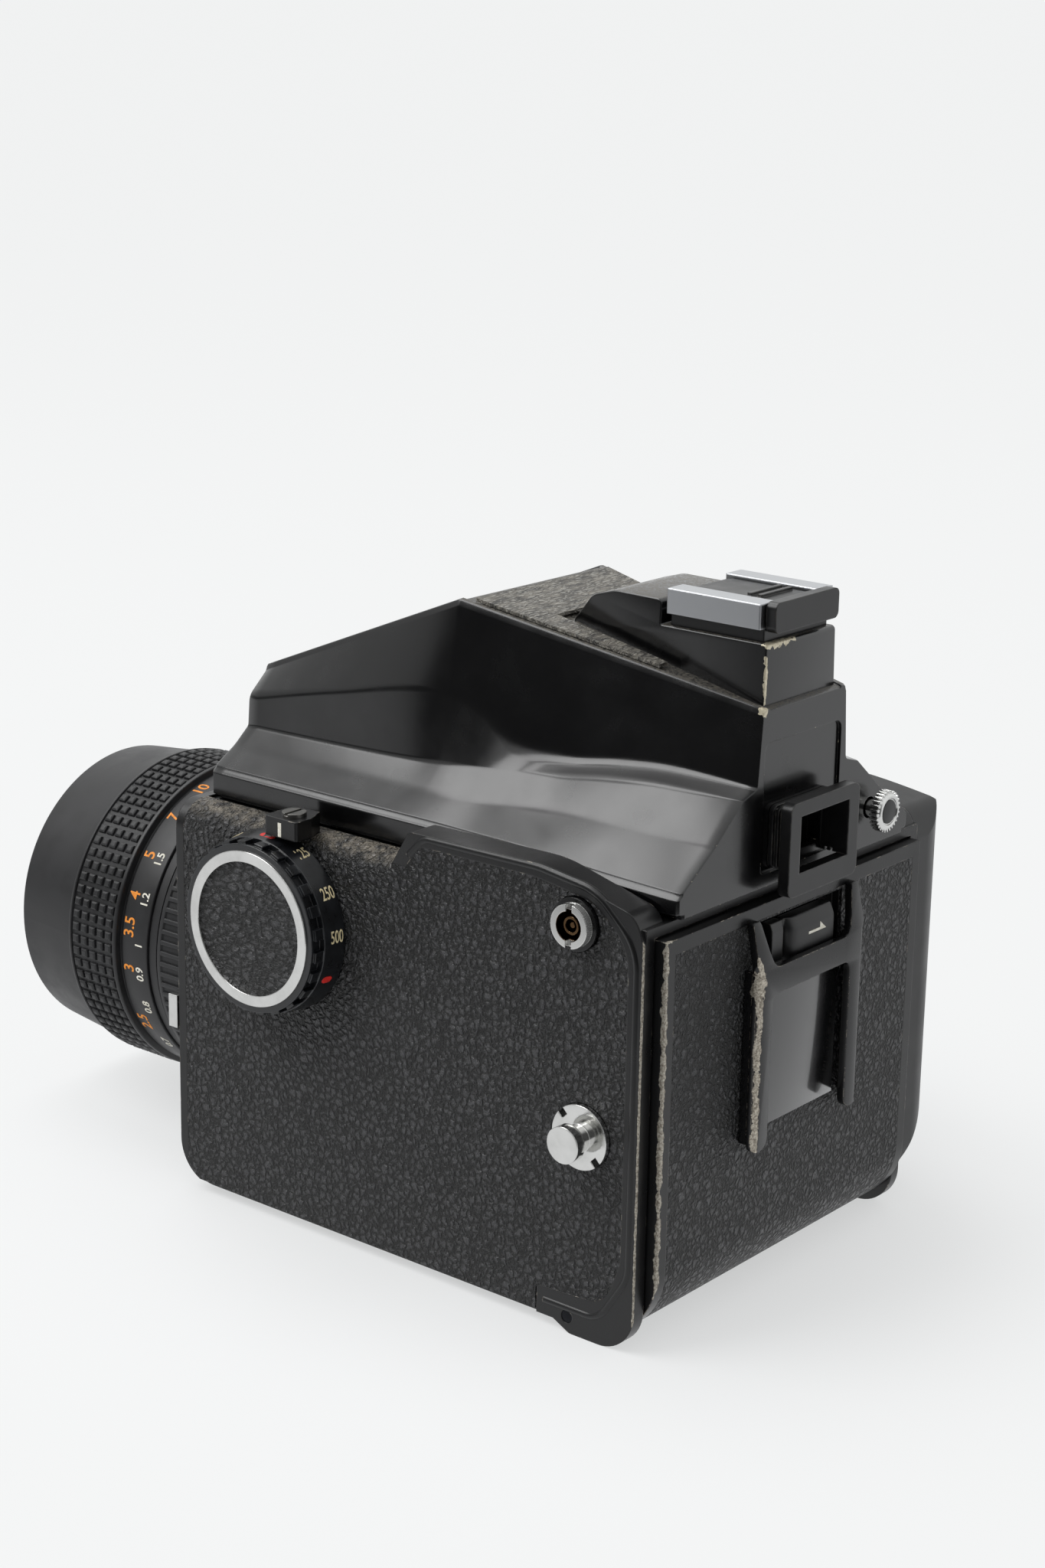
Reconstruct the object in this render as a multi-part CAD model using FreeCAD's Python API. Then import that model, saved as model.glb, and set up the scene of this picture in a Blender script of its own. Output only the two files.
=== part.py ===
import FreeCAD, Part
import math
import os

V = FreeCAD.Vector
os.makedirs("parts", exist_ok=True)

# Millimetres. X points to the shutter dial side, Y points back to the door, Z is up.
# The origin is the mouth of the tripod socket, on the lens plane.

# Body shell
body_front = 50.7
body_rear = 58.5
left_face = 42.1
right_face = 54.5
base_z = 1.8
deck_z = 76.4
rim_z = 83.3
rim_start = 3.3
rim_bend_y = 37.4
front_plate_t = 2.0
skin_t = 0.6
casting_right = 41.5
shell_wall = 2.0
shell_round = 9.0
shell_round_low = 32.0
shell_round_top = 13.0
front_low_r = 8.0
gap = 0.3
shaft_play = 0.06

# Mirror box, film gate and film chamber
mirror_box_half = 29.6
mirror_box_floor = 18.2
mirror_box_roof = 68.6
film_plane = 12.0
gate_width = 56.0
gate_height = 41.5
gate_wall_t = 5.2
screen_width = 61.0
screen_front = 43.4
screen_rear = 7.0
screen_t = 2.0
screen_recess = 1.0
screen_ledge = 2.0
chamber_half = 36.0
chamber_floor = 6.0
chamber_roof = 71.8

# Reflex mirror
mirror_hinge_y = 4.2
mirror_hinge_z = 66.4
mirror_length = 46.0
mirror_side_gap = 1.6
mirror_glass_t = 1.2
mirror_plate_t = 1.2
mirror_pin_r = 1.0

# Shutter curtain
curtain_t = 0.3
curtain_roller_r = 3.6
roller_side_gap = 4.4
curtain_low = 13.0
curtain_high = 64.5

# Film insert and spools
insert_half = 35.4
insert_wall = 1.5
insert_front_gap = 2.2
insert_play = 0.3
plate_half = 30.0
plate_high = 52.0
film_gap = 0.5
insert_rear = 52.0
spool_length = 65.6
spool_flange_r = 12.3
spool_pin_r = 2.8
spool_pin_l = 4.0
spool_core_r = 6.0
spool_flange_t = 1.2
spool_y = 38.5
supply_z = 21.8
take_up_z = 57.2

# Back door, its hinge and its latch
door_half = 38.9
door_gap = 0.3
door_face = 60.8
door_t = 2.9
door_top = 74.2
door_corner_r = 14.0
door_bottom = 0.6
hinge_y = 44.2
hinge_pin_r = 1.2
lobe_start = 37.5
band_low = 70.0
wrap_low = 62.0
hinge_barrel_r = 2.4
door_frame_side = 2.5
door_frame_top = 2.7
holder_half = 16.4
holder_arm = 3.0
holder_face = 64.0
holder_bottom = 30.4
holder_bar_low = 58.6
holder_bar_high = 63.4
holder_top = 72.2
holder_t = 1.2
latch_half = 9.2
latch_low = 61.0
latch_high = 70.2
latch_proud = 1.5
latch_floor = 2.1
latch_travel = 3.0

# Lens
lens_z = 38.2
mount_r = 34.3
throat_r = 28.0
mount_face = 55.0
flange_r = 33.0
flange_front = 60.3
aperture_ring_r = 31.5
aperture_ring_front = 68.5
depth_ring_r = 30.8
depth_ring_front = 70.8
focus_rear = 71.0
scale_front = 78.8
scale_r = 31.3
grip_r = 32.4
focus_front = 92.8
rim_rear_r = 31.4
rim_front_r = 29.8
rim_front = 109.6
filter_bore_r = 28.6
filter_bore_l = 5.0
guide_tube_r = 24.6
guide_tube_bore = 23.0
guide_tube_front = 88.0
sleeve_bore = 25.0
sleeve_r = 27.2
cell_r = 22.6
front_glass_r = 18.5
rear_glass_r = 15.0
blade_count = 5
blade_t = 0.25
blade_pitch = 0.45
blade_pivot_r = 19.6
blade_stack_rear = 63.0
blade_pin_r = 0.8
blade_in = 16.2
blade_out = 21.3
blade_seat_bore = 15.6
blade_seat_t = 1.0
lens_tube_r = 27.5
lens_tube_bore = 22.0
lens_tube_rear = 44.0
focus_travel = 10.2

# Shutter dial
dial_y = -24.6
dial_z = 59.8
dial_base_r = 17.0
dial_rim_r = 16.2
dial_ring_out = 14.5
dial_ring_in = 12.5
dial_height = 7.8
dial_teeth = 24
dial_front_r = 15.7
dial_front_l = 0.9
dial_tooth_l = 2.0
dial_notch_w = 2.2
dial_notch_d = 1.0
dial_hub_r = 4.0
dial_hub_l = 5.0

# Prism finder
finder_half = 35.1
finder_low = 76.6
finder_flange_top = 82.2
finder_front = 48.4
finder_rear = 60.0
finder_wall = 2.0
nose_half = 20.3
nose_top = 99.7
nose_crease_half = 30.5
nose_crease_z = 90.7
peak_y = -0.1
peak_half = 20.7
peak_z = 119.7
peak_crease_half = 30.4
peak_crease_z = 92.0
waist_y = 24.0
waist_crease_half = 28.1
waist_crease_z = 94.7
waist_foot_half = 19.5
waist_foot_z = 97.0
hip_y = 40.0
hip_edge_z = 81.2
hip_crease_half = 26.8
hip_crease_z = 97.2
hip_foot_half = 16.6
hip_foot_z = 99.9
tail_edge_z = 80.6
tail_crease_half = 18.4
tail_crease_z = 96.9
tail_foot_half = 16.0
tail_foot_z = 100.0
tail_half = 12.2
tail_z = 108.5
tower_half = 10.4
tower_top = 119.0
tower_front = 15.9
tower_rear = 58.6
hump_foot_z = 116.7
hump_knee_y = 21.3
hump_knee_z = 122.0
hump_crown_y = 26.2
hump_rear = 36.0
hump_top = 123.5
shoe_half = 10.8
shoe_slot_half = 9.4
shoe_front = 38.0
shoe_rear = 57.3
shoe_foot_t = 2.6
shoe_slot_h = 2.2
shoe_lip_t = 1.9
shoe_lip = 3.0
cover_block_half = 9.5
cover_block_low = 120.7
cover_block_high = 126.0
cover_block_t = 2.0
cover_block_gap = 0.3
cover_bar_y = 50.1
cover_bar_pitch = 2.2
panel_half = 11.6
panel_top = 102.3
eye_half = 10.5
eye_face = 65.1
eye_z_low = 75.6
eye_z_high = 92.3
eye_window_half = 7.4
eye_window_low = 77.6
eye_window_high = 89.7

# Advance knob and crank
knob_y = 12.0
knob_r = 15.6
knob_gap = 1.3
knob_height = 7.7
knob_shaft_r = 3.0
crank_length = 13.5
grip_play = 0.5
pocket_floor = 0.5
crank_t = 2.0
crank_width = 7.0
crank_pivot = 5.0
grip_length = 6.4
grip_radius = 3.2
gear_teeth = 36
gear_module = 0.8
gear_t = 2.6
ear_t = 1.6
crank_pin_r = 0.6
grip_pin_r = 1.2
knob_grooves = 36

# Small fittings
battery_y = -34.0
battery_z = 9.3
battery_r = 6.5
battery_l = 25.0
lid_half = 14.0
lid_front = 7.4
lid_t = 1.0
lid_pin_r = 0.4
bottom_plate_t = 1.2
foot_t = base_z - bottom_plate_t
bush_r = 7.0
bush_l = 9.0
socket_r = 3.175
socket_l = 7.5
release_x = -36.4
release_z = 14.6
release_r = 2.9
collar_play = 0.7
release_travel = 2.0
collar_r = 5.2
top_button_x = -38.2
top_button_y = -37.0
top_button_r = 2.7
pc_y = 44.5
pc_z = 74.7
pc_r = 3.85
pc_bore_r = 2.6
lug_y = 46.8
lug_z = 37.4
lug_ring_r = 5.8
lug_neck_r = 2.4
lug_head_r = 3.3
right_lug_y = 41.0
lug_ring_t = 1.7
lug_neck_l = 4.2
lug_head_t = 2.0
index_top = 80.6
index_inner = 38.0
index_outer = 46.0
index_front = -23.9
index_rear = -16.0
index_screw_x = 42.8
index_screw_y = -19.5
index_screw_r = 1.0
index_screw_l = 2.4
index_head_r = 2.2
index_head_t = 0.8
mount_screw_r = 0.9
mount_screw_circle = 31.2
lens_tab_low = 32.0
lens_tab_high = 38.5
lens_tab_travel = 4.0
lever_hub_r = 4.2
lever_post_r = 2.0
lever_t = 2.2
lever_y = -20.0
lever_z = 58.0
lever_l = 11.0
finder_button_x = -22.0
finder_button_z = 84.0
finder_button_face = 64.4
finder_button_r = 3.8
finder_stem_r = 1.6
finder_head_t = 2.0

curtain_roller_x = mirror_box_half + roller_side_gap
mirror_width = 2 * (mirror_box_half - mirror_side_gap)
casting_front = body_front - front_plate_t
casting_left = left_face - skin_t
door_edge = door_half + door_gap
hinge_z = door_bottom + hinge_barrel_r
pitch_r = gear_teeth * gear_module / 2
knob_z = take_up_z - math.sqrt((2 * pitch_r) ** 2 - (spool_y - knob_y) ** 2)
knob_in = right_face + knob_gap
knob_out = knob_in + knob_height
crank_axis_x = -knob_out - 0.4 - crank_t / 2
gear_low = -right_face + shell_wall + 1.4
gear_high = gear_low + gear_t

# Cutting tools run to these planes, which lie clear of the body
past_front = -body_front - 10
past_rear = body_rear + 12
past_left = left_face + 18
past_right = -right_face - 10
past_low = -5.0
past_deck = rim_z + 8
past_top = hump_top + 10


def box(x0, x1, y0, y1, z0, z1):
    return Part.makeBox(x1 - x0, y1 - y0, z1 - z0, V(x0, y0, z0))


def place(axis, a, b, level):
    """Point with plane coordinates a, b at a level along the axis."""
    if axis == "x":
        return V(level, a, b)
    if axis == "y":
        return V(a, level, b)
    return V(a, b, level)


def along(axis, length):
    return place(axis, 0, 0, length)


def rod(axis, a, b, r, lo, hi):
    return Part.makeCylinder(r, hi - lo, place(axis, a, b, lo), along(axis, 1))


def tube(axis, a, b, r_out, r_in, lo, hi):
    return rod(axis, a, b, r_out, lo, hi).cut(rod(axis, a, b, r_in, lo - 1, hi + 1))


def cone(axis, a, b, r_lo, r_hi, lo, hi):
    return Part.makeCone(r_lo, r_hi, hi - lo, place(axis, a, b, lo), along(axis, 1))


def corner(before, here, after, radius):
    """Two tangent points and the middle of the arc that rounds a corner."""
    p = FreeCAD.Vector(here[0], here[1], 0)
    a = FreeCAD.Vector(before[0], before[1], 0) - p
    b = FreeCAD.Vector(after[0], after[1], 0) - p
    half = a.getAngle(b) / 2
    reach = radius / math.tan(half)
    a.normalize()
    b.normalize()
    middle = a + b
    middle.normalize()
    out = p + middle * (radius / math.sin(half) - radius)
    return p + a * reach, out, p + b * reach


def wire(points, axis, level):
    """Closed outline of (a, b) corners, or (a, b, radius) for a rounded one."""
    edges = []
    ends = []
    count = len(points)
    for i, here in enumerate(points):
        if len(here) > 2 and here[2] > 0:
            ends.append(corner(points[i - 1], here, points[(i + 1) % count], here[2]))
        else:
            ends.append(None)
    for i, here in enumerate(points):
        if ends[i]:
            a, m, b = [place(axis, q.x, q.y, level) for q in ends[i]]
            edges.append(Part.Arc(a, m, b).toShape())
            start = b
        else:
            start = place(axis, here[0], here[1], level)
        j = (i + 1) % count
        if ends[j]:
            stop = place(axis, ends[j][0].x, ends[j][0].y, level)
        else:
            stop = place(axis, points[j][0], points[j][1], level)
        if (stop - start).Length > 1e-6:
            edges.append(Part.makeLine(start, stop))
    return Part.Wire(edges)


def slab(points, axis, lo, hi):
    return Part.Face(wire(points, axis, lo)).extrude(along(axis, hi - lo))


def join(first, *others):
    return first.fuse(list(others)).removeSplitter()


def group(shapes):
    return Part.makeCompound(shapes)


def save(name, shape):
    shape.exportStep("parts/" + name + ".step")
    print(name, len(shape.Solids), round(shape.Volume, 1), shape.isValid())


def rim_line(corner_r):
    """Crest of the raised shoulder, from its front step to the rear face."""
    return [(rim_start, deck_z), (rim_start + 3.8, rim_z - 0.4, 1.5), (rim_bend_y, rim_z, 26),
            (body_rear - 1.8, rim_z - 4.8, 4), (body_rear, rim_z - 9.5, corner_r)]


def rim_outline(low):
    """Side view of the raised shoulder that holds the finder."""
    return [(rim_start, low)] + rim_line(1.5) + [(body_rear, low)]


def front_low_corner():
    """What the rounded lower front corner takes off every part that reaches it."""
    y, z = front_low_r - body_front, base_z + front_low_r
    return box(past_right, past_left, past_front, y, past_low, z).cut(
        rod("x", y, z, front_low_r, past_right - 1, past_left + 1))


# Main casting

def side_outline():
    return [
        (-casting_front, base_z, 2), (hinge_y - 3, base_z), (hinge_y + 0.6, 0, 2), (body_rear, 0, 7.5),
        (body_rear, deck_z), (-casting_front, deck_z),
    ]


def leather_outline():
    """Area of the left side that the leatherette covers."""
    return [
        (-casting_front, base_z + 0.6), (37.2, base_z + 0.6), (37.2, 7.0, 1), (52.5, 7.8, 6), (55.4, 16.6, 6),
        (55.4, 72.8, 9.4), (47.8, rim_z - 4.1, 8), (rim_bend_y - 2, rim_z - 2.4, 20),
        (rim_start + 6.4, rim_z - 2.6, 2.5), (rim_start + 3.1, deck_z), (-casting_front, deck_z),
    ]


def door_inner(offset):
    """Inside outline of the closed door, moved inwards by an offset."""
    y = door_face - door_t - offset
    z = door_bottom + door_t + offset
    r = door_corner_r - door_t - offset
    return [(0, z), (y, z, r), (y, past_deck), (0, past_deck)]


def make_casting():
    low = wrap_low
    body = slab(side_outline(), "x", -casting_right, casting_left)
    body = body.fuse(slab(rim_outline(low), "x", finder_half + 0.7, casting_left))
    body = body.fuse(slab(rim_outline(low), "x", -casting_right, -finder_half - 0.7))
    edge = slab([(casting_left, low), (casting_left, deck_z, 4.4), (finder_half, deck_z),
                 (finder_half, past_deck), (casting_left + 5, past_deck), (casting_left + 5, low)],
                "y", -casting_front - 1, rim_start)
    body = body.cut(edge)
    band = slab([(lobe_start, base_z), (hinge_y - 3, base_z), (hinge_y + 0.6, 0, 2), (body_rear, 0, 7.5)]
                + rim_line(1.5)[::-1] + [(rim_start, band_low), (lobe_start, band_low)],
                "x", casting_left, left_face)
    body = body.fuse(band.cut(slab(leather_outline(), "x", casting_left - 1, left_face + 1)))
    cuts = [
        box(-mirror_box_half, mirror_box_half, -casting_front - 1, film_plane - gate_wall_t,
            mirror_box_floor, mirror_box_roof),
        box(-screen_width / 2 + screen_ledge, screen_width / 2 - screen_ledge, -screen_front + screen_ledge,
            screen_rear - screen_ledge, mirror_box_roof - 5, past_deck),
        box(-screen_width / 2, screen_width / 2, -screen_front, screen_rear,
            deck_z - screen_t - screen_recess, past_deck),
        rod("y", 0, lens_z, throat_r, past_front, -lens_tube_rear + 1),
        box(-gate_width / 2, gate_width / 2, 0, film_plane + 1,
            lens_z - gate_height / 2, lens_z + gate_height / 2),
        box(-curtain_roller_x, curtain_roller_x, film_plane - 1.5, film_plane - 0.6,
            curtain_low, curtain_high + gap),
        box(-chamber_half, chamber_half, film_plane, past_rear, chamber_floor, chamber_roof),
        slab([(-4, past_deck), (-4, deck_z), (past_rear, deck_z), (past_rear, past_deck)], "x",
             -finder_half - 0.7, finder_half + 0.7),
    ]
    for side in (-1, 1):
        cuts.append(rod("z", side * curtain_roller_x, film_plane - 1.2 - curtain_roller_r,
                        curtain_roller_r + gap, curtain_low, curtain_high + gap))
    inner = slab(door_inner(0.4), "x", -door_edge, door_edge)
    outer = box(-door_edge, door_edge, hinge_y - 4.6, past_rear, past_low, door_top + door_gap)
    cuts.append(outer.cut(inner))
    cuts.append(rod("x", hinge_y, hinge_z, hinge_barrel_r + gap, -door_edge, door_edge))
    cuts.append(rod("x", hinge_y, hinge_z, hinge_pin_r, past_right, past_left))
    cuts.append(rod("x", spool_y, take_up_z, spool_pin_r + gap, past_right, 0))
    cuts.append(rod("x", mirror_hinge_y, mirror_hinge_z, mirror_pin_r + shaft_play,
                    -mirror_box_half - 3, mirror_box_half + 3))
    cuts.append(rod("x", battery_y, battery_z, battery_r + gap, -battery_l / 2, battery_l / 2))
    cuts.append(box(-battery_l / 2, battery_l / 2, battery_y - battery_r, battery_y + battery_r,
                    0, battery_z))
    cuts.append(rod("z", 0, 0, bush_r, 0, bush_l))
    cuts.append(rod("y", release_x, release_z, release_r + gap, past_front, -casting_front + 10))
    cuts.append(rod("z", top_button_x, top_button_y, top_button_r + gap, deck_z - 12, past_deck))
    cuts.append(rod("x", dial_y, dial_z, dial_hub_r + gap, casting_left - dial_hub_l - 1, past_left))
    cuts.append(rod("x", pc_y, pc_z, pc_r, casting_left - 3, past_left))
    cuts.append(rod("x", lug_y, lug_z, lug_neck_r, casting_left - 2, past_left))
    cuts.append(lens_tab_slot(past_front, -casting_front + 1.5))
    cuts.append(front_low_corner())
    for body_cut in cuts:
        body = body.cut(body_cut)
    return body


def shell_block(y0, y1, top, top_r, side):
    """One length of the rounded right-hand shell, cut from its side outline."""
    block = slab(side, "x", -right_face, -casting_right)
    plan = [(-right_face, -casting_front, shell_round - 1), (-right_face, body_rear, shell_round),
            (-20, body_rear), (-20, -casting_front)]
    front = [(-right_face, base_z, shell_round_low), (-right_face, top, top_r), (-20, top), (-10, base_z)]
    return block.common(slab(plan, "z", past_low, past_deck)).common(slab(front, "y", y0, y1))


def make_right_cover():
    join_y = rim_start + 1
    front = shell_block(-casting_front, join_y, deck_z, shell_round - 1,
                        [(-casting_front, base_z, 3), (join_y, base_z), (join_y, deck_z),
                         (-casting_front, deck_z, 3)])
    rear = shell_block(rim_start, body_rear, rim_z, shell_round_top,
                       [(rim_start, base_z), (body_rear, base_z, 10)] + rim_line(3)[::-1])
    cover = join(front, rear).cut(front_low_corner())
    wall = shell_wall + 0.4
    cavity = slab([(-right_face + wall, base_z + wall, shell_round_low - wall), (-right_face + wall, 73.2, 3),
                   (-casting_right, 73.2), (-10, 73.2), (-10, base_z + wall)], "y", -42, 54.6)
    cover = cover.cut(cavity)
    cover = cover.cut(rod("x", knob_y, knob_z, knob_shaft_r + shaft_play, past_right, -casting_right + 1))
    cover = cover.cut(rod("x", lever_y, lever_z, lever_post_r + shaft_play, past_right, -casting_right + 1))
    return cover.cut(rod("x", right_lug_y, lug_z, lug_neck_r, past_right, -casting_right + 1))


def make_left_leather():
    skin = slab(leather_outline(), "x", casting_left, left_face)
    skin = skin.cut(box(finder_half, past_left, past_front, rim_start - 0.2, wrap_low, past_deck))
    wrap = slab([(left_face, wrap_low), (left_face, deck_z + skin_t, 5), (finder_half + 0.7, deck_z + skin_t),
                 (finder_half + 0.7, deck_z), (casting_left, deck_z, 4.4), (casting_left, wrap_low)],
                "y", -casting_front, rim_start - 0.2)
    skin = join(skin, wrap).cut(front_low_corner())
    inside = casting_left - 1
    for cut in (rod("x", dial_y, dial_z, dial_hub_r + gap, inside, past_left),
                rod("x", pc_y, pc_z, pc_r + 1.0, inside, past_left),
                rod("x", lug_y, lug_z, lug_ring_r + 0.1, inside, past_left)):
        skin = skin.cut(cut)
    return skin


def make_right_leather():
    low = base_z + shell_round_low + 1.2
    skin = slab([(-39, low, 6), (47, low, 8), (47, 67, 8), (-39, 67, 6)], "x",
                -right_face - skin_t, -right_face)
    inside = -right_face + 1
    for cut in (rod("x", knob_y, knob_z, knob_shaft_r + gap, past_right, inside),
                rod("x", lever_y, lever_z, lever_post_r + gap, past_right, inside),
                rod("x", right_lug_y, lug_z, lug_ring_r + 0.1, past_right, inside)):
        skin = skin.cut(cut)
    return skin


def lens_tab_slot(y0, y1):
    return box(37.3, 39.7, y0, y1, lens_tab_low - lens_tab_travel - 0.4, lens_tab_high - 1)


def make_front_plate():
    plate = slab([(-casting_right - 0.5, base_z, 1.5), (left_face, base_z, 1.5),
                  (left_face, deck_z + skin_t, 5), (-casting_right - 0.5, deck_z, 3)],
                 "y", -body_front, -casting_front)
    inside = -casting_front + 1
    plate = plate.cut(rod("y", 0, lens_z, mount_r, past_front, inside))
    plate = plate.cut(rod("y", release_x, release_z, release_r + gap, past_front, inside))
    return plate.cut(lens_tab_slot(past_front, inside)).cut(front_low_corner())


def make_front_leather():
    low = base_z + front_low_r + 0.5
    skin = slab([(-41, low, 1.5), (left_face - 0.8, low, 1.5), (left_face - 0.8, 74.5, 4.5), (-41, 74.5, 2)],
                "y", -body_front - skin_t, -body_front)
    inside = -body_front + 1
    skin = skin.cut(rod("y", 0, lens_z, mount_r + 2.2, past_front, inside))
    skin = skin.cut(box(30, past_left, past_front, inside,
                        lens_tab_low - lens_tab_travel - 1, lens_tab_high + 1))
    return skin.cut(rod("y", release_x, release_z, collar_r + 1.0, past_front, inside))


def make_bottom_plate():
    plate = slab([(-38, -44, 4), (38, -44, 4), (38, 36, 4), (-38, 36, 4)], "z", foot_t, base_z)
    pads = tube("z", 0, 0, bush_r + 7, bush_r, 0, foot_t)
    plate = plate.fuse(pads)
    for side in (-1, 1):
        plate = plate.fuse(rod("z", side * 28, -38, 4, 0, foot_t))
    plate = plate.cut(rod("z", 0, 0, bush_r, past_low, base_z + 1))
    plate = plate.cut(box(-lid_half - gap, lid_half + gap,
                          battery_y - lid_front - lid_t, battery_y + lid_front + gap, past_low, base_z + 1))
    return plate.cut(rod("x", battery_y - lid_front, foot_t + bottom_plate_t / 2, lid_pin_r + shaft_play,
                         -lid_half - 1.5, lid_half + 1.5))


def make_battery_cover():
    z = foot_t + bottom_plate_t / 2
    lid = box(-lid_half, lid_half, battery_y - lid_front, battery_y + lid_front, z - lid_t / 2, z + lid_t / 2)
    barrel = rod("x", battery_y - lid_front, z, lid_t / 2, -lid_half, lid_half)
    pin = rod("x", battery_y - lid_front, z, lid_pin_r, -lid_half - 1.2, lid_half + 1.2)
    lid = join(lid, barrel, pin)
    return lid.cut(box(-5, 5, battery_y + 3.5, battery_y + 5.0, z - 1, z))


def mount_screw_spots():
    return [(mount_screw_circle * math.cos(a), lens_z + mount_screw_circle * math.sin(a)) for a in
            [math.radians(45 + 90 * i) for i in range(4)]]


def make_mount_ring():
    ring = tube("y", 0, lens_z, mount_r, throat_r, -mount_face, -casting_front)
    for x, z in mount_screw_spots():
        ring = ring.cut(rod("y", x, z, 2 * mount_screw_r, -mount_face - 1, -mount_face + 1.2))
        ring = ring.cut(rod("y", x, z, mount_screw_r, past_front, -casting_front + 1))
    return ring


def make_screws():
    x, y = index_screw_x, index_screw_y
    head = rod("z", x, y, index_head_r, index_top, index_top + index_head_t)
    head = head.cut(box(x - 4, x + 4, y - 0.4, y + 0.4, index_top + index_head_t / 2, past_deck))
    screws = [join(head, rod("z", x, y, index_screw_r, index_top - index_screw_l, index_top))]
    for x, z in mount_screw_spots():
        head = rod("y", x, z, 2 * mount_screw_r - 0.1, -mount_face + 0.2, -mount_face + 1.2)
        head = head.cut(box(x - 2, x + 2, past_front, -mount_face + 0.6, z - 0.25, z + 0.25))
        screws.append(join(head, rod("y", x, z, mount_screw_r, -mount_face + 1.2, -casting_front)))
    return group(screws)


def make_tripod_bush():
    return rod("z", 0, 0, bush_r, 0, bush_l).cut(rod("z", 0, 0, socket_r, -1, socket_l))


# Screen, curtain and film insert

def make_screen():
    return box(-screen_width / 2, screen_width / 2, -screen_front, screen_rear,
               deck_z - screen_t - screen_recess, deck_z - screen_recess)


def make_curtain():
    y = film_plane - 1.2
    return box(-curtain_roller_x, curtain_roller_x, y, y + curtain_t, curtain_low + 1,
               curtain_high - 1)


def make_curtain_rollers():
    y = film_plane - 1.2 - curtain_roller_r
    return group([rod("z", side * curtain_roller_x, y, curtain_roller_r, curtain_low, curtain_high)
                  for side in (-1, 1)])


def make_insert_frame():
    front = film_plane + insert_front_gap
    low = chamber_floor + insert_play
    high = chamber_roof - insert_play
    frame = box(-insert_half, insert_half, front, insert_rear, low, high)
    frame = frame.cut(box(-insert_half + insert_wall, insert_half - insert_wall, front + insert_wall,
                          insert_rear + 1, low + insert_wall, high - insert_wall))
    foot = box(-insert_half + 2, insert_half - 2, front + 4, hinge_y - 6, chamber_floor, low)
    frame = frame.fuse(foot)
    for z in (supply_z, take_up_z):
        frame = frame.fuse(rod("x", spool_y, z, spool_pin_r, spool_length / 2 - spool_pin_l + 1, insert_half))
    frame = frame.fuse(rod("x", spool_y, supply_z, spool_pin_r,
                           -insert_half, -spool_length / 2 + spool_pin_l - 1))
    frame = frame.cut(rod("x", spool_y, take_up_z, spool_pin_r + gap, -insert_half - 1,
                          -insert_half + insert_wall + 0.2))
    hand = [(22, 15, 2), (32, 15, 2), (32, 26, 2), (22, 26, 2)]
    for side in (-1, 1):
        x = side * insert_half
        frame = frame.cut(slab([(y, z + 18, r) for y, z, r in hand], "x",
                               min(x, x - side * 3), max(x, x - side * 3)))
    return frame


def make_pressure_plate():
    return box(-plate_half, plate_half, film_plane + film_gap, film_plane + insert_front_gap,
               lens_z - plate_high / 2, lens_z + plate_high / 2)


def make_spool(z):
    half = spool_length / 2
    spool = rod("x", spool_y, z, spool_core_r, -half, half)
    for side in (-1, 1):
        a = side * half
        b = side * (half - spool_flange_t)
        spool = spool.fuse(rod("x", spool_y, z, spool_flange_r, min(a, b), max(a, b)))
    for lo, hi in ((half - spool_pin_l, half + 1), (-half - 1, -half + spool_pin_l)):
        spool = spool.cut(rod("x", spool_y, z, spool_pin_r + shaft_play, lo, hi))
    return spool


# Back door

def door_band(t0, t1, top):
    """Side view of a layer of the door between two depths below its outer face."""
    return [
        (hinge_y, door_bottom + t0), (door_face - t0, door_bottom + t0, door_corner_r - t0),
        (door_face - t0, top),
        (door_face - t1, top), (door_face - t1, door_bottom + t1, door_corner_r - t1),
        (hinge_y, door_bottom + t1),
    ]


def door_leather_area():
    half = door_half - door_frame_side
    return box(-half, half, hinge_y + 4, door_face + 2, past_low, door_top - door_frame_top)


def latch_pocket():
    half = holder_half - holder_arm - 0.2
    return box(-half, half, door_face - latch_floor, door_face + 5, latch_low - 0.6, latch_high + 1.0)


def make_door():
    door = slab(door_band(0, door_t, door_top), "x", -door_half, door_half)
    door = door.fuse(rod("x", hinge_y, hinge_z, hinge_barrel_r, -door_half, door_half))
    skin = slab(door_band(-1, skin_t, door_top), "x", -door_half, door_half).common(door_leather_area())
    door = door.cut(skin)
    door = door.cut(latch_pocket())
    return door.cut(rod("x", hinge_y, hinge_z, hinge_pin_r + shaft_play, past_right, past_left))


def make_door_leather():
    skin = slab(door_band(0, skin_t, door_top), "x", -door_half, door_half).common(door_leather_area())
    return skin.cut(latch_pocket())


def make_memo_holder():
    arms = []
    for side in (-1, 1):
        a = side * holder_half
        b = side * (holder_half - holder_arm)
        x0, x1 = min(a, b), max(a, b)
        arms.append(slab([(holder_face - holder_t, holder_bottom, 0.4), (holder_face, holder_bottom, 0.8),
                          (holder_face, holder_bar_high), (door_face + 1.2, holder_top),
                          (door_face, holder_top),
                          (door_face, holder_top - 2),
                          (holder_face - holder_t, holder_bar_high - 0.8)], "x", x0, x1))
        c = side * (holder_half - 1.0)
        arms.append(box(min(a, c), max(a, c), door_face, holder_face - 0.5,
                        holder_bottom + 1, holder_bar_high - 1.5))
    bar = box(-holder_half, holder_half, holder_face - holder_t, holder_face, holder_bar_low, holder_bar_high)
    half = holder_half - holder_arm + 0.4
    backing = box(-half, half, door_face, door_face + 0.5, holder_bottom + 2.4, holder_bar_low + 0.6)
    return join(bar, backing, *arms)


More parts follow.
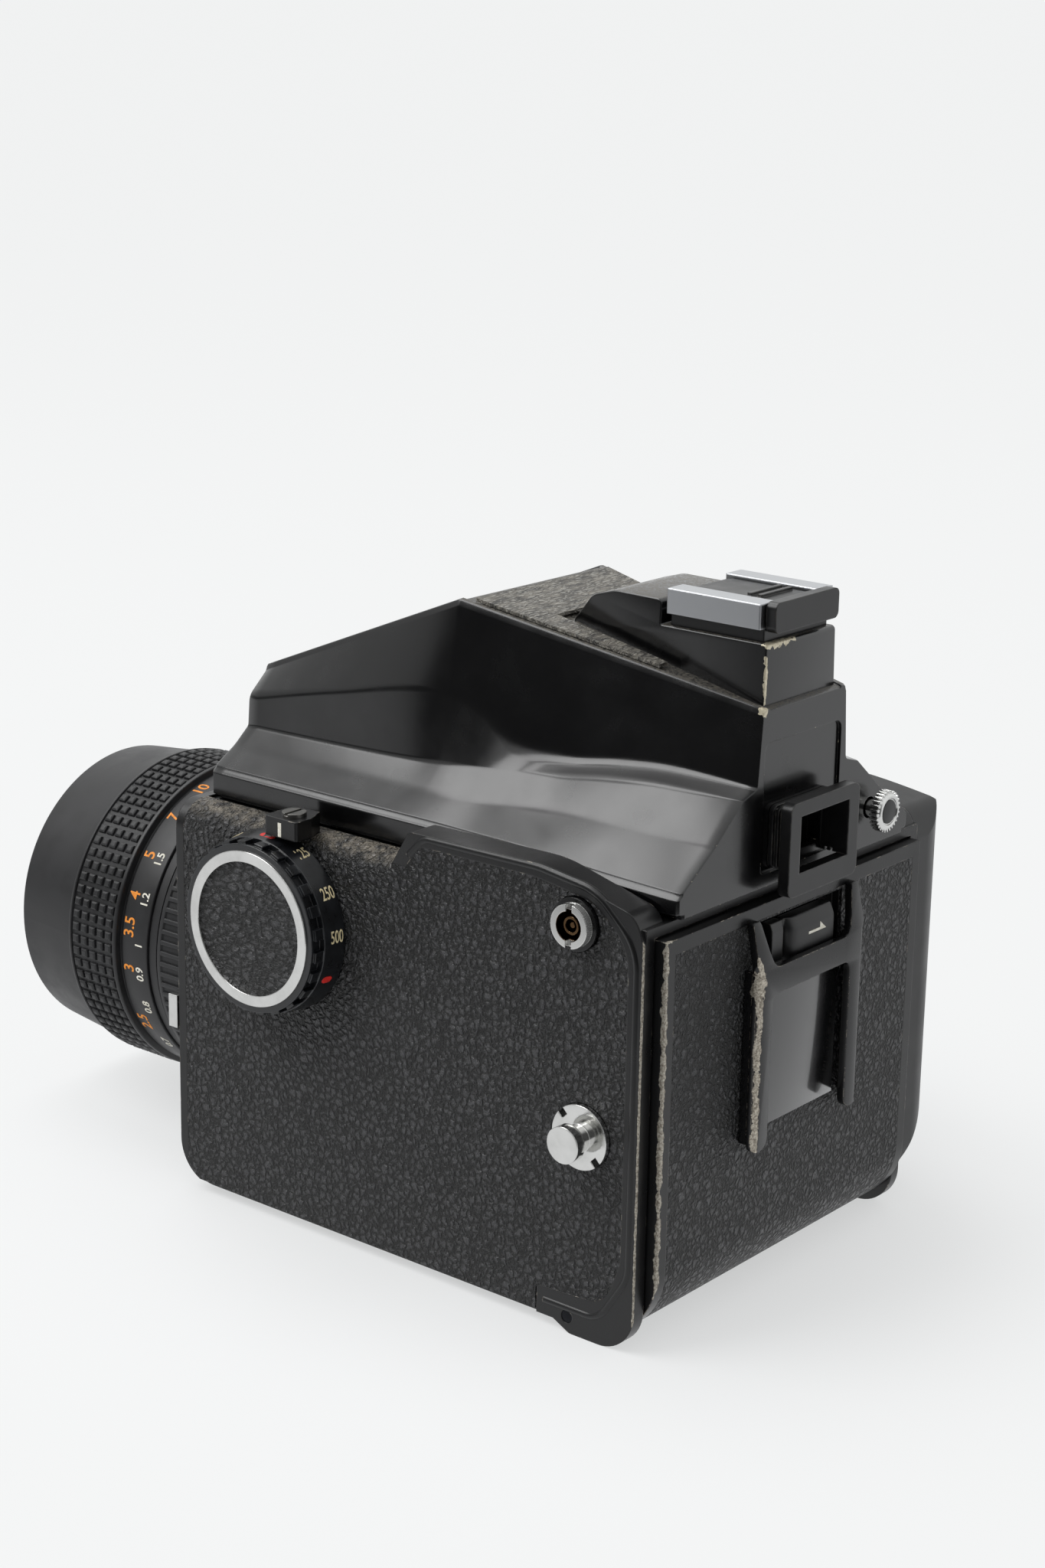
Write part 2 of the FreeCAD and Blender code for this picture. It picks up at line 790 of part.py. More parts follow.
def make_latch():
    low = latch_low
    high = latch_high
    middle = (low + high) / 2
    rear = door_face - latch_floor + gap
    proud = door_face + latch_proud
    body = slab([(rear, low), (proud - 1, low), (proud, middle - 2, 3), (proud, middle + 2, 3),
                 (proud - 1, high),
                 (rear, high)], "x", -latch_half, latch_half)
    scoop = rod("z", latch_half, proud + 1.4, 8.0, low - 1, high + 1)
    scoop = scoop.cut(box(past_right, past_left, 0, proud - 1.7, 0, past_deck))
    return body.cut(scoop)


def make_hinge_pin():
    return rod("x", hinge_y, hinge_z, hinge_pin_r, -casting_right + 0.3, left_face - 0.1)


# Prism finder

def roof_at(y):
    """Half width and height of the roof edge behind the peak."""
    share = (y - peak_y) / (finder_rear - peak_y)
    return peak_half + share * (tail_half - peak_half), peak_z + share * (tail_z - peak_z)


def finder_stations():
    """Half outlines across the finder: base, flange, skirt crease, flank foot and roof edge."""
    base = [(finder_half - 1.5, finder_low), (finder_half - 1.5, finder_low + 2.2),
            (finder_half, finder_low + 2.2)]
    edge = (finder_half, finder_flange_top)
    nose = base + [edge, (nose_crease_half, nose_crease_z),
                   ((nose_crease_half + nose_half) / 2, (nose_crease_z + nose_top) / 2),
                   (nose_half, nose_top)]
    peak = base + [edge, (peak_crease_half, peak_crease_z),
                   ((peak_crease_half + peak_half) / 2, (peak_crease_z + peak_z) / 2), (peak_half, peak_z)]
    waist = base + [edge, (waist_crease_half, waist_crease_z), (waist_foot_half, waist_foot_z),
                    roof_at(waist_y)]
    hip = base + [(finder_half, hip_edge_z), (hip_crease_half, hip_crease_z), (hip_foot_half, hip_foot_z),
                  roof_at(hip_y)]
    tail = base + [(finder_half, tail_edge_z), (tail_crease_half, tail_crease_z),
                   (tail_foot_half, tail_foot_z),
                   (tail_half, tail_z)]
    return [(-finder_front, nose), (peak_y, peak), (waist_y, waist), (hip_y, hip), (finder_rear, tail)]


def finder_form():
    wires = []
    for y, half in finder_stations():
        ring = half + [(-x, z) for x, z in reversed(half)]
        points = [V(x, y, z) for x, z in ring]
        wires.append(Part.makePolygon(points + [points[0]]))
    return Part.makeLoft(wires, True, True)


def tower_form():
    across = [(-tail_half, tail_z - 8), (-tail_half, tail_z), (-tower_half, tower_top),
              (-tower_half + 0.5, hump_top),
              (tower_half - 0.5, hump_top), (tower_half, tower_top),
              (tail_half, tail_z), (tail_half, tail_z - 8)]
    side = [(tower_front, hump_foot_z), (hump_knee_y, hump_knee_z, 2.5), (hump_crown_y, hump_top, 4),
            (hump_rear, hump_top, 0.8), (hump_rear, tower_top), (tower_rear, tower_top, 0.6),
            (tower_rear, tail_z - 8), (tower_front, tail_z - 8)]
    return slab(across, "y", tower_front, tower_rear).common(slab(side, "x", -20, 20))


def prism_side():
    return [(-34, 80), (34, 80), (34, 100), (20, 110), (peak_y, 114), (-34, 96)]


def make_finder_housing():
    form = finder_form().fuse(tower_form())
    cuts = [
        slab(prism_side(), "x", -14.8, 14.8),
        box(-27, 27, -40, 36, finder_low - 1, 80),
        box(-eye_window_half, eye_window_half, 30, past_rear, 81, eye_window_high),
        box(-panel_half, panel_half, finder_rear - 0.5, past_rear, eye_z_low + 3.6, panel_top),
        rod("y", finder_button_x, finder_button_z, finder_stem_r + gap, finder_rear - 6, past_rear),
    ]
    for cut in cuts:
        form = form.cut(cut)
    return form


def make_prism():
    return slab(prism_side(), "x", -14.8, 14.8)


def make_finder_leather(housing):
    front, rear = peak_y + 2.4, 39.0
    margin = 1.3
    band = slab([(front, roof_at(front)[1]), (rear, roof_at(rear)[1]), (rear, roof_at(rear)[1] + skin_t),
                 (front, roof_at(front)[1] + skin_t)], "x", -30, 30)
    w0, w1 = roof_at(front)[0] - margin, roof_at(rear)[0] - margin
    plan = [(-w0, front), (w0, front), (w1, rear), (-w1, rear)]
    band = band.common(slab(plan, "z", finder_low, past_top))
    band = band.cut(box(-tower_half - 0.9, tower_half + 0.9, tower_front - 1.5, past_rear,
                        finder_low, past_top))
    return band.cut(housing)


def make_eyepiece_frame():
    y0 = finder_rear - 0.5
    neck = slab([(-9, eye_z_low + 4.0, 1.5), (9, eye_z_low + 4.0, 1.5), (9, eye_z_high - 1.4, 1.5),
                 (-9, eye_z_high - 1.4, 1.5)], "y", y0, eye_face - 2.2)
    for i in range(2):
        y = y0 + 0.9 + 1.1 * i
        groove = box(-eye_half, eye_half, y, y + 0.5, eye_z_low, eye_z_high)
        groove = groove.cut(box(-8.4, 8.4, y - 1, y + 1, eye_z_low + 4.6, eye_z_high - 2))
        neck = neck.cut(groove)
    flange = slab([(-eye_half, eye_z_low, 1.6), (eye_half, eye_z_low, 1.6), (eye_half, eye_z_high, 1.6),
                   (-eye_half, eye_z_high, 1.6)], "y", eye_face - 2.2, eye_face)
    frame = join(neck, flange)
    return frame.cut(box(-eye_window_half, eye_window_half, finder_rear - 8, past_rear, eye_window_low + 2,
                         eye_window_high))


def make_eyepiece_glass():
    y = finder_rear - 4
    return box(-eye_window_half, eye_window_half, y, y + 2, 81, eye_window_high)


def make_shoe():
    z0 = tower_top
    z1 = z0 + shoe_foot_t
    z2 = z1 + shoe_slot_h
    z3 = z2 + shoe_lip_t
    shoe = box(-shoe_half + 1.4, shoe_half - 1.4, shoe_front, shoe_rear, z0, z1)
    for side in (-1, 1):
        a = side * shoe_half
        b = side * shoe_slot_half
        c = side * (shoe_slot_half - shoe_lip)
        shoe = shoe.fuse(box(min(a, b), max(a, b), shoe_front, shoe_rear, z1 - 0.4, z3))
        shoe = shoe.fuse(box(min(a, c), max(a, c), shoe_front, shoe_rear, z2, z3))
    return shoe.removeSplitter()


def make_shoe_cover():
    z1 = tower_top + shoe_foot_t + 0.2
    z2 = z1 + shoe_slot_h - 0.4
    half = shoe_slot_half - 0.3
    stop = shoe_rear + cover_block_gap
    foot = box(-half, half, shoe_front + 0.4, stop, z1, z2)
    crown = box(-half + shoe_lip + 0.2, half - shoe_lip - 0.2, shoe_front + 1.2, stop, z2, z2 + 1.5)
    block = slab([(-cover_block_half, cover_block_low, 1.2), (cover_block_half, cover_block_low, 1.2),
                  (cover_block_half, cover_block_high, 1.2), (-cover_block_half, cover_block_high, 1.2)],
                 "y", stop, stop + cover_block_t)
    cover = join(foot, crown, block)
    for i in range(2):
        y = cover_bar_y + cover_bar_pitch * i
        cover = cover.fuse(box(-5.4, 3.8, y - 0.4, y + 0.4, z2 + 1.5, z2 + 2.0))
    return cover


def make_finder_button():
    x, z = finder_button_x, finder_button_z
    head = rod("y", x, z, finder_button_r, finder_button_face - finder_head_t, finder_button_face)
    head = head.cut(rod("y", x, z, finder_button_r - 1.2, finder_button_face - 0.4, past_rear))
    stem = rod("y", x, z, finder_stem_r, finder_rear - 3.5, finder_button_face - finder_head_t)
    return join(head, stem)


# Lens

def turned(points):
    """Solid of revolution about the lens axis from (y, radius) corners."""
    corners = [V(r, y, lens_z) for y, r in points]
    face = Part.Face(Part.makePolygon(corners + [corners[0]]))
    return face.revolve(V(0, 0, lens_z), V(0, 1, 0), 360)


def make_lens_barrel():
    parts = [
        tube("y", 0, lens_z, lens_tube_r, lens_tube_bore, -mount_face, -lens_tube_rear),
        tube("y", 0, lens_z, flange_r, lens_tube_bore, -flange_front, -mount_face),
        tube("y", 0, lens_z, guide_tube_r, guide_tube_bore, -guide_tube_front, -flange_front),
        tube("y", 0, lens_z, depth_ring_r, guide_tube_r - 0.2, -depth_ring_front, -aperture_ring_front - 0.3),
        tube("y", 0, lens_z, lens_tube_bore + 0.2, rear_glass_r, -56, -48),
        tube("y", 0, lens_z, guide_tube_bore + 0.2, blade_seat_bore, -blade_stack_rear + gap,
             -blade_stack_rear + gap + blade_seat_t),
    ]
    barrel = parts[0].fuse(parts[1:])
    for i in range(blade_count):
        a = 2 * math.pi * i / blade_count
        x, z = blade_pivot_r * math.cos(a), lens_z + blade_pivot_r * math.sin(a)
        tip = -blade_stack_rear - blade_pitch * (blade_count - 1) - blade_t
        barrel = barrel.fuse(rod("y", x, z, blade_pin_r, tip, -blade_stack_rear + gap + 0.2))
    return barrel


def make_blade(i):
    y1 = -blade_stack_rear - blade_pitch * i
    y0 = y1 - blade_t
    turn = 360.0 * i / blade_count
    band = tube("y", 0, lens_z, blade_out, blade_in, y0, y1)
    reach = 40
    start, stop = math.radians(-4), math.radians(58)
    wedge = slab([(0, lens_z), (reach * math.cos(start), lens_z + reach * math.sin(start)),
                  (reach * 1.2, lens_z + reach * 0.6),
                  (reach * math.cos(stop), lens_z + reach * math.sin(stop))], "y", y0 - 1, y1 + 1)
    blade = band.common(wedge)
    blade = blade.cut(rod("y", blade_pivot_r, lens_z, blade_pin_r + shaft_play, y0 - 1, y1 + 1))
    blade.rotate(V(0, 0, lens_z), V(0, -1, 0), turn)
    return blade


def make_aperture_ring():
    ring = tube("y", 0, lens_z, aperture_ring_r, guide_tube_r + 0.4,
                -aperture_ring_front, -flange_front - gap)
    for i in range(60):
        a = 2 * math.pi * i / 60
        x, z = aperture_ring_r * math.cos(a), lens_z + aperture_ring_r * math.sin(a)
        ring = ring.cut(rod("y", x, z, 0.45, -aperture_ring_front + 1.2, -flange_front - gap - 1))
    return ring


def make_focus_ring():
    inner = sleeve_r + 0.4
    ring = turned([(-focus_front, inner), (-focus_front, grip_r - 0.5), (-focus_front + 0.5, grip_r),
                   (-scale_front - 0.5, grip_r), (-scale_front, grip_r - 0.5), (-scale_front, scale_r),
                   (-focus_rear, scale_r), (-focus_rear, inner)])
    return ring


def make_front_barrel():
    return turned([(-focus_front - 0.3, rim_rear_r), (-rim_front + 0.7, rim_front_r),
                   (-rim_front, rim_front_r - 0.6), (-rim_front, filter_bore_r),
                   (-rim_front + filter_bore_l, filter_bore_r), (-rim_front + filter_bore_l, 26.6),
                   (-101.0, front_glass_r), (-82, front_glass_r), (-82, cell_r), (-95.5, cell_r),
                   (-95.5, sleeve_bore), (-76, sleeve_bore), (-76, sleeve_r), (-focus_front - 0.3, sleeve_r)])


def lens_glass(r, y_front, y_rear, sag):
    """Round element whose front surface bulges forwards by its sag."""
    ball_r = (r * r + sag * sag) / (2 * sag)
    blank = rod("y", 0, lens_z, r, y_front, y_rear)
    return blank.common(Part.makeSphere(ball_r, V(0, y_front + ball_r, lens_z)))


# Controls

def make_dial():
    x0 = left_face + gap
    x1 = left_face + dial_height
    teeth_high = x1 - dial_front_l
    teeth_low = teeth_high - dial_tooth_l
    dial = cone("x", dial_y, dial_z, dial_base_r, dial_rim_r + 0.2, x0, teeth_low)
    dial = dial.fuse(rod("x", dial_y, dial_z, dial_rim_r, teeth_low, teeth_high))
    dial = dial.fuse(rod("x", dial_y, dial_z, dial_front_r, teeth_high, x1 - 0.3))
    for i in range(dial_teeth):
        a = 2 * math.pi * i / dial_teeth
        notch = box(teeth_low, teeth_high, dial_rim_r - dial_notch_d, dial_rim_r + 3,
                    -dial_notch_w / 2, dial_notch_w / 2)
        notch.rotate(V(0, 0, 0), V(1, 0, 0), math.degrees(a))
        notch.translate(V(0, dial_y, dial_z))
        dial = dial.cut(notch)
    dial = dial.cut(rod("x", dial_y, dial_z, dial_ring_out, x1 - 1.0, x1 + 1))
    return join(dial, rod("x", dial_y, dial_z, dial_hub_r, casting_left - dial_hub_l, x0))


def make_dial_ring():
    x1 = left_face + dial_height
    return tube("x", dial_y, dial_z, dial_ring_out, dial_ring_in, x1 - 1.0, x1)


def make_dial_leather():
    x1 = left_face + dial_height
    return rod("x", dial_y, dial_z, dial_ring_in, x1 - 1.0, x1 - 0.5)


def make_index_block():
    plan = [(index_inner, index_front, 0.5), (index_outer, index_front, 0.5), (index_outer, index_rear, 0.5),
            (index_inner + 4, index_rear), (index_inner, index_rear - 1.8)]
    block = slab(plan, "z", deck_z + skin_t, index_top)
    return block.cut(rod("z", index_screw_x, index_screw_y, index_screw_r,
                         index_top - index_screw_l, past_deck))


def make_pc_socket():
    collar = tube("x", pc_y, pc_z, pc_r + 0.8, pc_bore_r, casting_left, left_face + 0.8)
    ring = tube("x", pc_y, pc_z, pc_r, pc_bore_r, casting_left - 3, left_face + 2.3)
    notch = box(left_face + 1.2, past_left, pc_y - 0.6, pc_y + 0.6, pc_z - 6, pc_z + 6)
    socket = join(collar, ring).cut(notch)
    floor = rod("x", pc_y, pc_z, pc_bore_r + 0.1, casting_left - 3, casting_left - 2)
    contact = tube("x", pc_y, pc_z, 1.6, 1.15, casting_left - 2, left_face + 1.6)
    pin = rod("x", pc_y, pc_z, 0.5, casting_left - 2, left_face + 1.2)
    return join(socket, floor, contact, pin)


def lug_pair():
    return [(lug_y, casting_left, 1), (right_lug_y, -right_face, -1)]


def make_strap_lugs():
    lugs = []
    for y, x, side in lug_pair():
        a, b = x, x + side * lug_ring_t
        lug = rod("x", y, lug_z, lug_ring_r, min(a, b), max(a, b))
        for turn in (45, 225):
            notch = box(min(a, b) - 1, max(a, b) + 1, y - 0.7, y + 0.7, lug_z + lug_ring_r - 1.4, lug_z + 9)
            notch.rotate(V(0, y, lug_z), V(1, 0, 0), turn)
            lug = lug.cut(notch)
        a, b, c = x - side * 2, x + side * lug_neck_l, x + side * (lug_neck_l + lug_head_t)
        neck = rod("x", y, lug_z, lug_neck_r, min(a, b), max(a, b))
        lugs.append(join(lug, neck, rod("x", y, lug_z, lug_head_r, min(b, c), max(b, c))))
    return group(lugs)


def make_lens_tab():
    plate = box(35.6, left_face + 0.3, -body_front - 2.5, -body_front - gap, lens_tab_low, lens_tab_high)
    plate = plate.cut(rod("y", 0, lens_z, mount_r + 0.6, past_front, -casting_front))
    stub = box(37.6, 39.4, -body_front - gap, -casting_front - 0.3, lens_tab_low + 1, lens_tab_high - 1.4)
    return join(plate, stub)


def make_release_button():
    x, z = release_x, release_z
    return rod("y", x, z, release_r, -body_front - 5.5, -body_front + 7.7)


def make_release_collar():
    x, z = release_x, release_z
    collar = tube("y", x, z, collar_r, release_r + collar_play, -body_front - 3.7, -body_front - gap)
    tab = box(x - 1.1, x + 1.1, -body_front - 2.9, -body_front - 0.9, z + 4.6, z + 7.2)
    return join(collar, tab)


def make_top_button():
    button = rod("z", top_button_x, top_button_y, top_button_r, deck_z - 7, deck_z + 2.4)
    return button.cut(rod("z", top_button_x, top_button_y, 1.2, deck_z, deck_z + 5))


def gear(y, z, lo, hi, phase):
    """Spur gear on an X axis, as an outline of straight-sided teeth."""
    tip, root = pitch_r + 0.9 * gear_module, pitch_r - 1.2 * gear_module
    step = 2 * math.pi / gear_teeth
    points = []
    for i in range(gear_teeth):
        c = phase + i * step
        for r, w in ((root, -0.30), (tip, -0.11), (tip, 0.11), (root, 0.30)):
            a = c + w * step
            points.append((y + r * math.cos(a), z + r * math.sin(a)))
    return slab(points, "x", lo, hi)


def mesh_angle():
    return math.atan2(take_up_z - knob_z, spool_y - knob_y)


def make_advance_gear():
    wheel = gear(knob_y, knob_z, gear_low, gear_high, mesh_angle())
    shaft = rod("x", knob_y, knob_z, knob_shaft_r, -knob_in, -casting_right - gap)
    return wheel.fuse(shaft)


def make_take_up_gear():
    step = 2 * math.pi / gear_teeth
    wheel = gear(spool_y, take_up_z, gear_low, gear_high, mesh_angle() + math.pi + step / 2)
    shaft = rod("x", spool_y, take_up_z, spool_pin_r, gear_high - 1, -spool_length / 2 + spool_pin_l - 1)
    return join(wheel, shaft)


def make_knob():
    z, y = knob_z, knob_y
    knob = rod("x", y, z, knob_r, -knob_out, -knob_in)
    for i in range(knob_grooves):
        a = 2 * math.pi * i / knob_grooves
        groove_y, groove_z = y + (knob_r + 0.5) * math.cos(a), z + (knob_r + 0.5) * math.sin(a)
        knob = knob.cut(rod("x", groove_y, groove_z, 0.9, past_right, -right_face))
    grip_y = y + crank_pivot - crank_length
    pocket_r = grip_radius + grip_play
    pocket = slab([(y - knob_r - 2, z - pocket_r), (grip_y + pocket_r, z - pocket_r, 3),
                   (grip_y + pocket_r, z + pocket_r, 3), (y - knob_r - 2, z + pocket_r)],
                  "x", -knob_out - 1, -knob_out + grip_length + pocket_floor)
    knob = knob.cut(pocket)
    px = crank_axis_x
    for side in (-1, 1):
        z0 = z + side * (crank_width / 2 + gap)
        z1 = z + side * (crank_width / 2 + gap + ear_t)
        ear = box(px - 1.2, -knob_out + 0.4, y + crank_pivot - 2, y + crank_pivot + 2,
                  min(z0, z1), max(z0, z1))
        knob = knob.fuse(ear)
    pin = rod("z", px, y + crank_pivot, crank_pin_r, z - crank_width / 2 - 1, z + crank_width / 2 + 1)
    return join(knob, pin, make_advance_gear())


def make_crank_arm():
    x0, x1 = crank_axis_x - crank_t / 2, crank_axis_x + crank_t / 2
    y0 = knob_y + crank_pivot - crank_length - 3.4
    y1 = knob_y + crank_pivot
    w = crank_width / 2
    arm = slab([(y0, knob_z - w, 3), (y1, knob_z - w), (y1, knob_z + w), (y0, knob_z + w, 3)], "x", x0, x1)
    arm = arm.fuse(rod("z", crank_axis_x, y1, crank_t / 2, knob_z - w, knob_z + w))
    arm = arm.cut(rod("z", crank_axis_x, y1, crank_pin_r + shaft_play, knob_z - 9, knob_z + 9))
    spindle = rod("x", y1 - crank_length, knob_z, grip_pin_r, x1, x1 + grip_length)
    return join(arm, spindle)


def make_crank_grip():
    x1 = crank_axis_x + crank_t / 2
    y = knob_y + crank_pivot - crank_length
    return tube("x", y, knob_z, grip_radius, grip_pin_r + shaft_play, x1 + 0.1, x1 + grip_length)


def make_multi_lever():
    x1 = -right_face - skin_t - gap
    x0 = x1 - lever_t
    hub = rod("x", lever_y, lever_z, lever_hub_r, x0, x1)
    arm = slab([(lever_y, lever_z - 2.6), (lever_y + lever_l, lever_z - 1.8, 1.5),
                (lever_y + lever_l, lever_z + 1.8, 1.5), (lever_y, lever_z + 2.6)], "x", x0, x1)
    return join(hub, arm, rod("x", lever_y, lever_z, lever_post_r, x1, -right_face + shell_wall + 0.2))


# Reflex mirror, drawn level and then dropped to its viewing angle

def dropped(shape):
    shape.rotate(V(0, mirror_hinge_y, mirror_hinge_z), V(1, 0, 0), 45)
    return shape


def make_mirror_frame():
    y1 = mirror_hinge_y
    z1 = mirror_hinge_z
    plate = box(-mirror_width / 2, mirror_width / 2, y1 - mirror_length, y1, z1 - mirror_plate_t, z1)
    pin = rod("x", y1, z1 - mirror_plate_t + 1.2, 1.2, -mirror_width / 2, mirror_width / 2)
    ends = rod("x", y1, z1, mirror_pin_r, -mirror_box_half - 2.5, mirror_box_half + 2.5)
    return dropped(join(plate, pin, ends))


def make_mirror_glass():
    y1 = mirror_hinge_y
    z1 = mirror_hinge_z
    return dropped(box(-mirror_width / 2 + 0.5, mirror_width / 2 - 0.5, y1 - mirror_length + 0.5, y1 - 2.0,
                       z1, z1 + mirror_glass_t))


save("body_casting", make_casting())
save("right_cover", make_right_cover())
save("left_leatherette", make_left_leather())
save("right_leatherette", make_right_leather())
save("front_plate", make_front_plate())
save("front_leatherette", make_front_leather())
save("bottom_plate", make_bottom_plate())
save("battery_cover", make_battery_cover())
save("battery", rod("x", battery_y, battery_z, battery_r, -battery_l / 2 + 0.2, battery_l / 2 - 0.2))
save("lens_mount_ring", make_mount_ring())
save("screws", make_screws())
save("tripod_bush", make_tripod_bush())
save("focusing_screen", make_screen())
save("shutter_curtain", make_curtain())
save("curtain_rollers", make_curtain_rollers())
save("film_insert", make_insert_frame())
save("pressure_plate", make_pressure_plate())
save("supply_spool", make_spool(supply_z))
save("take_up_spool", make_spool(take_up_z))
save("back_door", make_door())
save("door_leatherette", make_door_leather())
save("memo_holder", make_memo_holder())
save("door_latch", make_latch())
save("door_hinge_pin", make_hinge_pin())
finder_housing = make_finder_housing()
save("finder_housing", finder_housing)
save("finder_leatherette", make_finder_leather(finder_housing))
save("finder_prism", make_prism())
save("eyepiece_frame", make_eyepiece_frame())
save("eyepiece_glass", make_eyepiece_glass())
save("accessory_shoe", make_shoe())
save("shoe_cover", make_shoe_cover())
save("finder_release", make_finder_button())
save("lens_barrel", make_lens_barrel())
save("rear_glass", lens_glass(rear_glass_r, -56.0, -50.0, 2.5))
save("front_glass", lens_glass(front_glass_r, -104.0, -93.0, 3.5))
save("front_barrel", make_front_barrel())
save("focus_ring", make_focus_ring())
save("aperture_ring", make_aperture_ring())
for number in range(blade_count):
    save("iris_blade_%d" % (number + 1), make_blade(number))
save("shutter_dial", make_dial())
save("dial_ring", make_dial_ring())
save("dial_leatherette", make_dial_leather())
save("index_block", make_index_block())
save("flash_socket", make_pc_socket())
save("strap_lugs", make_strap_lugs())
save("lens_release", make_lens_tab())
save("release_button", make_release_button())
save("release_collar", make_release_collar())
save("top_button", make_top_button())
save("take_up_gear", make_take_up_gear())
save("advance_knob", make_knob())
save("crank_arm", make_crank_arm())
save("crank_grip", make_crank_grip())
save("multi_exposure_lever", make_multi_lever())
save("mirror_frame", make_mirror_frame())
save("mirror_glass", make_mirror_glass())
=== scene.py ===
import math

import bmesh
import bpy
from mathutils import Matrix, Vector, kdtree


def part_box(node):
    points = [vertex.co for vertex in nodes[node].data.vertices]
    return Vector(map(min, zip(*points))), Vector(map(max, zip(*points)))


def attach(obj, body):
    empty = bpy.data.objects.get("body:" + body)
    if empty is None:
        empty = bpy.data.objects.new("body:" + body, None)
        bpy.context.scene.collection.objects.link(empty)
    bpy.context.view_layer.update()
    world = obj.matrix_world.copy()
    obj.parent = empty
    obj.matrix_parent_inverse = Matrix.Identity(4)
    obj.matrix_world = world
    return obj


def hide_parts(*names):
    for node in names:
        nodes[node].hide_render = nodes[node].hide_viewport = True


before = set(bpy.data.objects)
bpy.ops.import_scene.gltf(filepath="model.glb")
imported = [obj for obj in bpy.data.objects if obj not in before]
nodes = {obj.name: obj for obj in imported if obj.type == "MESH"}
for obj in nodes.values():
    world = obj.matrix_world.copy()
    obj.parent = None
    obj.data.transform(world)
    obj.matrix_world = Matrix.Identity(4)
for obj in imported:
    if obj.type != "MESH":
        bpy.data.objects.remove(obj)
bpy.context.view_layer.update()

mm = 0.001
weldGap = 0.002    # millimetres, below which corners of a loft are one
spinWeldGap = 0.004
leastRadius = 0.01
capShare = 0.70    # height of a capital to the size of its type


# Modelling helpers

def deselectAll():
    if bpy.context.mode != "OBJECT":
        bpy.ops.object.mode_set(mode="OBJECT")
    bpy.ops.object.select_all(action="DESELECT")


def focusOn(piece):
    deselectAll()
    piece.select_set(True)
    bpy.context.view_layer.objects.active = piece


def editNet(piece):
    focusOn(piece)
    bpy.ops.object.mode_set(mode="EDIT")
    return bmesh.from_edit_mesh(piece.data)


def selectEdges(piece, test):
    # the piece is in edit mode
    bpy.ops.mesh.select_mode(type="EDGE")
    bpy.ops.mesh.select_all(action="DESELECT")
    net = bmesh.from_edit_mesh(piece.data)
    for edge in net.edges:
        if test(edge):
            edge.select_set(True)
    bmesh.update_edit_mesh(piece.data)


def weldMesh(gap):
    # in edit mode: corners closer than the gap become one, and the faces turn outwards
    bpy.ops.mesh.select_all(action="SELECT")
    bpy.ops.mesh.remove_doubles(threshold=gap * mm)
    bpy.ops.mesh.normals_make_consistent(inside=False)
    deselectAll()


def applyModifier(piece, kind, **settings):
    focusOn(piece)
    modifier = piece.modifiers.new(kind.lower(), kind)
    for key, value in settings.items():
        setattr(modifier, key, value)
    bpy.ops.object.modifier_apply(modifier=modifier.name)


def roundEdges(piece, width, segments=2, angle=32):
    applyModifier(piece, "BEVEL", width=width * mm, segments=segments, limit_method="ANGLE",
                  angle_limit=math.radians(angle), use_clamp_overlap=True)


def cutAway(piece, tool):
    applyModifier(piece, "BOOLEAN", operation="DIFFERENCE", solver="EXACT", object=tool)
    deselectAll()
    bpy.data.objects.remove(tool)


def arcCorners(points, steps=4, closed=True):
    # corners are (a, b) or (a, b, radius), and a rounded one becomes steps + 1 points
    straight, spacing, mostOfSide = 1.56, 0.02, 0.48
    out = []
    for i, here in enumerate(points):
        radius = here[2] if len(here) > 2 else 0
        corner = Vector(here[:2])
        if radius <= 0 or (not closed and i in (0, len(points) - 1)):
            out.append((corner.x, corner.y))
            continue
        a = Vector(points[i - 1][:2]) - corner
        b = Vector(points[(i + 1) % len(points)][:2]) - corner
        half = a.angle(b) / 2
        if half > straight:
            # a straight run still gives steps + 1 points
            out.extend(tuple(corner + b.normalized() * spacing * k) for k in range(steps + 1))
            continue
        reach = min(radius / math.tan(half), a.length * mostOfSide, b.length * mostOfSide)
        radius = reach * math.tan(half)
        centre = corner + (a.normalized() + b.normalized()).normalized() * radius / math.sin(half)
        start = corner + a.normalized() * reach - centre
        stop = corner + b.normalized() * reach - centre
        sweep = start.angle_signed(stop)
        for k in range(steps + 1):
            spot = centre + Matrix.Rotation(-sweep * k / steps, 2) @ start
            out.append((spot.x, spot.y))
    return out


def onPlane(axis, a, b, level):
    spot = {"x": (level, a, b), "y": (a, level, b), "z": (a, b, level)}[axis]
    return Vector(spot) * mm


def nearestOf(spots):
    tree = kdtree.KDTree(len(spots))
    for i, spot in enumerate(spots):
        tree.insert(spot, i)
    tree.balance()
    return tree


def loft(name, rings, capStart=True, capEnd=True):
    # a circle is shaped as the first ring, filled, and extruded ring by ring
    deselectAll()
    bpy.ops.mesh.primitive_circle_add(vertices=len(rings[0]), radius=mm)
    piece = bpy.context.object
    piece.name = name
    net = editNet(piece)
    for vert, spot in zip(net.verts, rings[0]):
        vert.co = spot
    bmesh.update_edit_mesh(piece.data)
    bpy.ops.mesh.select_all(action="SELECT")
    bpy.ops.mesh.edge_face_add()
    for before, after in zip(rings, rings[1:]):
        bpy.ops.mesh.extrude_region_move()
        tree = nearestOf(before)
        net = bmesh.from_edit_mesh(piece.data)
        for vert in net.verts:
            if vert.select:
                vert.co = after[tree.find(vert.co)[1]]
        bmesh.update_edit_mesh(piece.data)
    if not capEnd:
        bpy.ops.mesh.delete(type="ONLY_FACE")
    if capStart:
        tree = nearestOf(rings[0])
        selectEdges(piece, lambda e: e.is_boundary and all(tree.find(v.co)[2] < 1e-6 for v in e.verts))
        bpy.ops.mesh.edge_face_add()
    weldMesh(weldGap)
    return piece


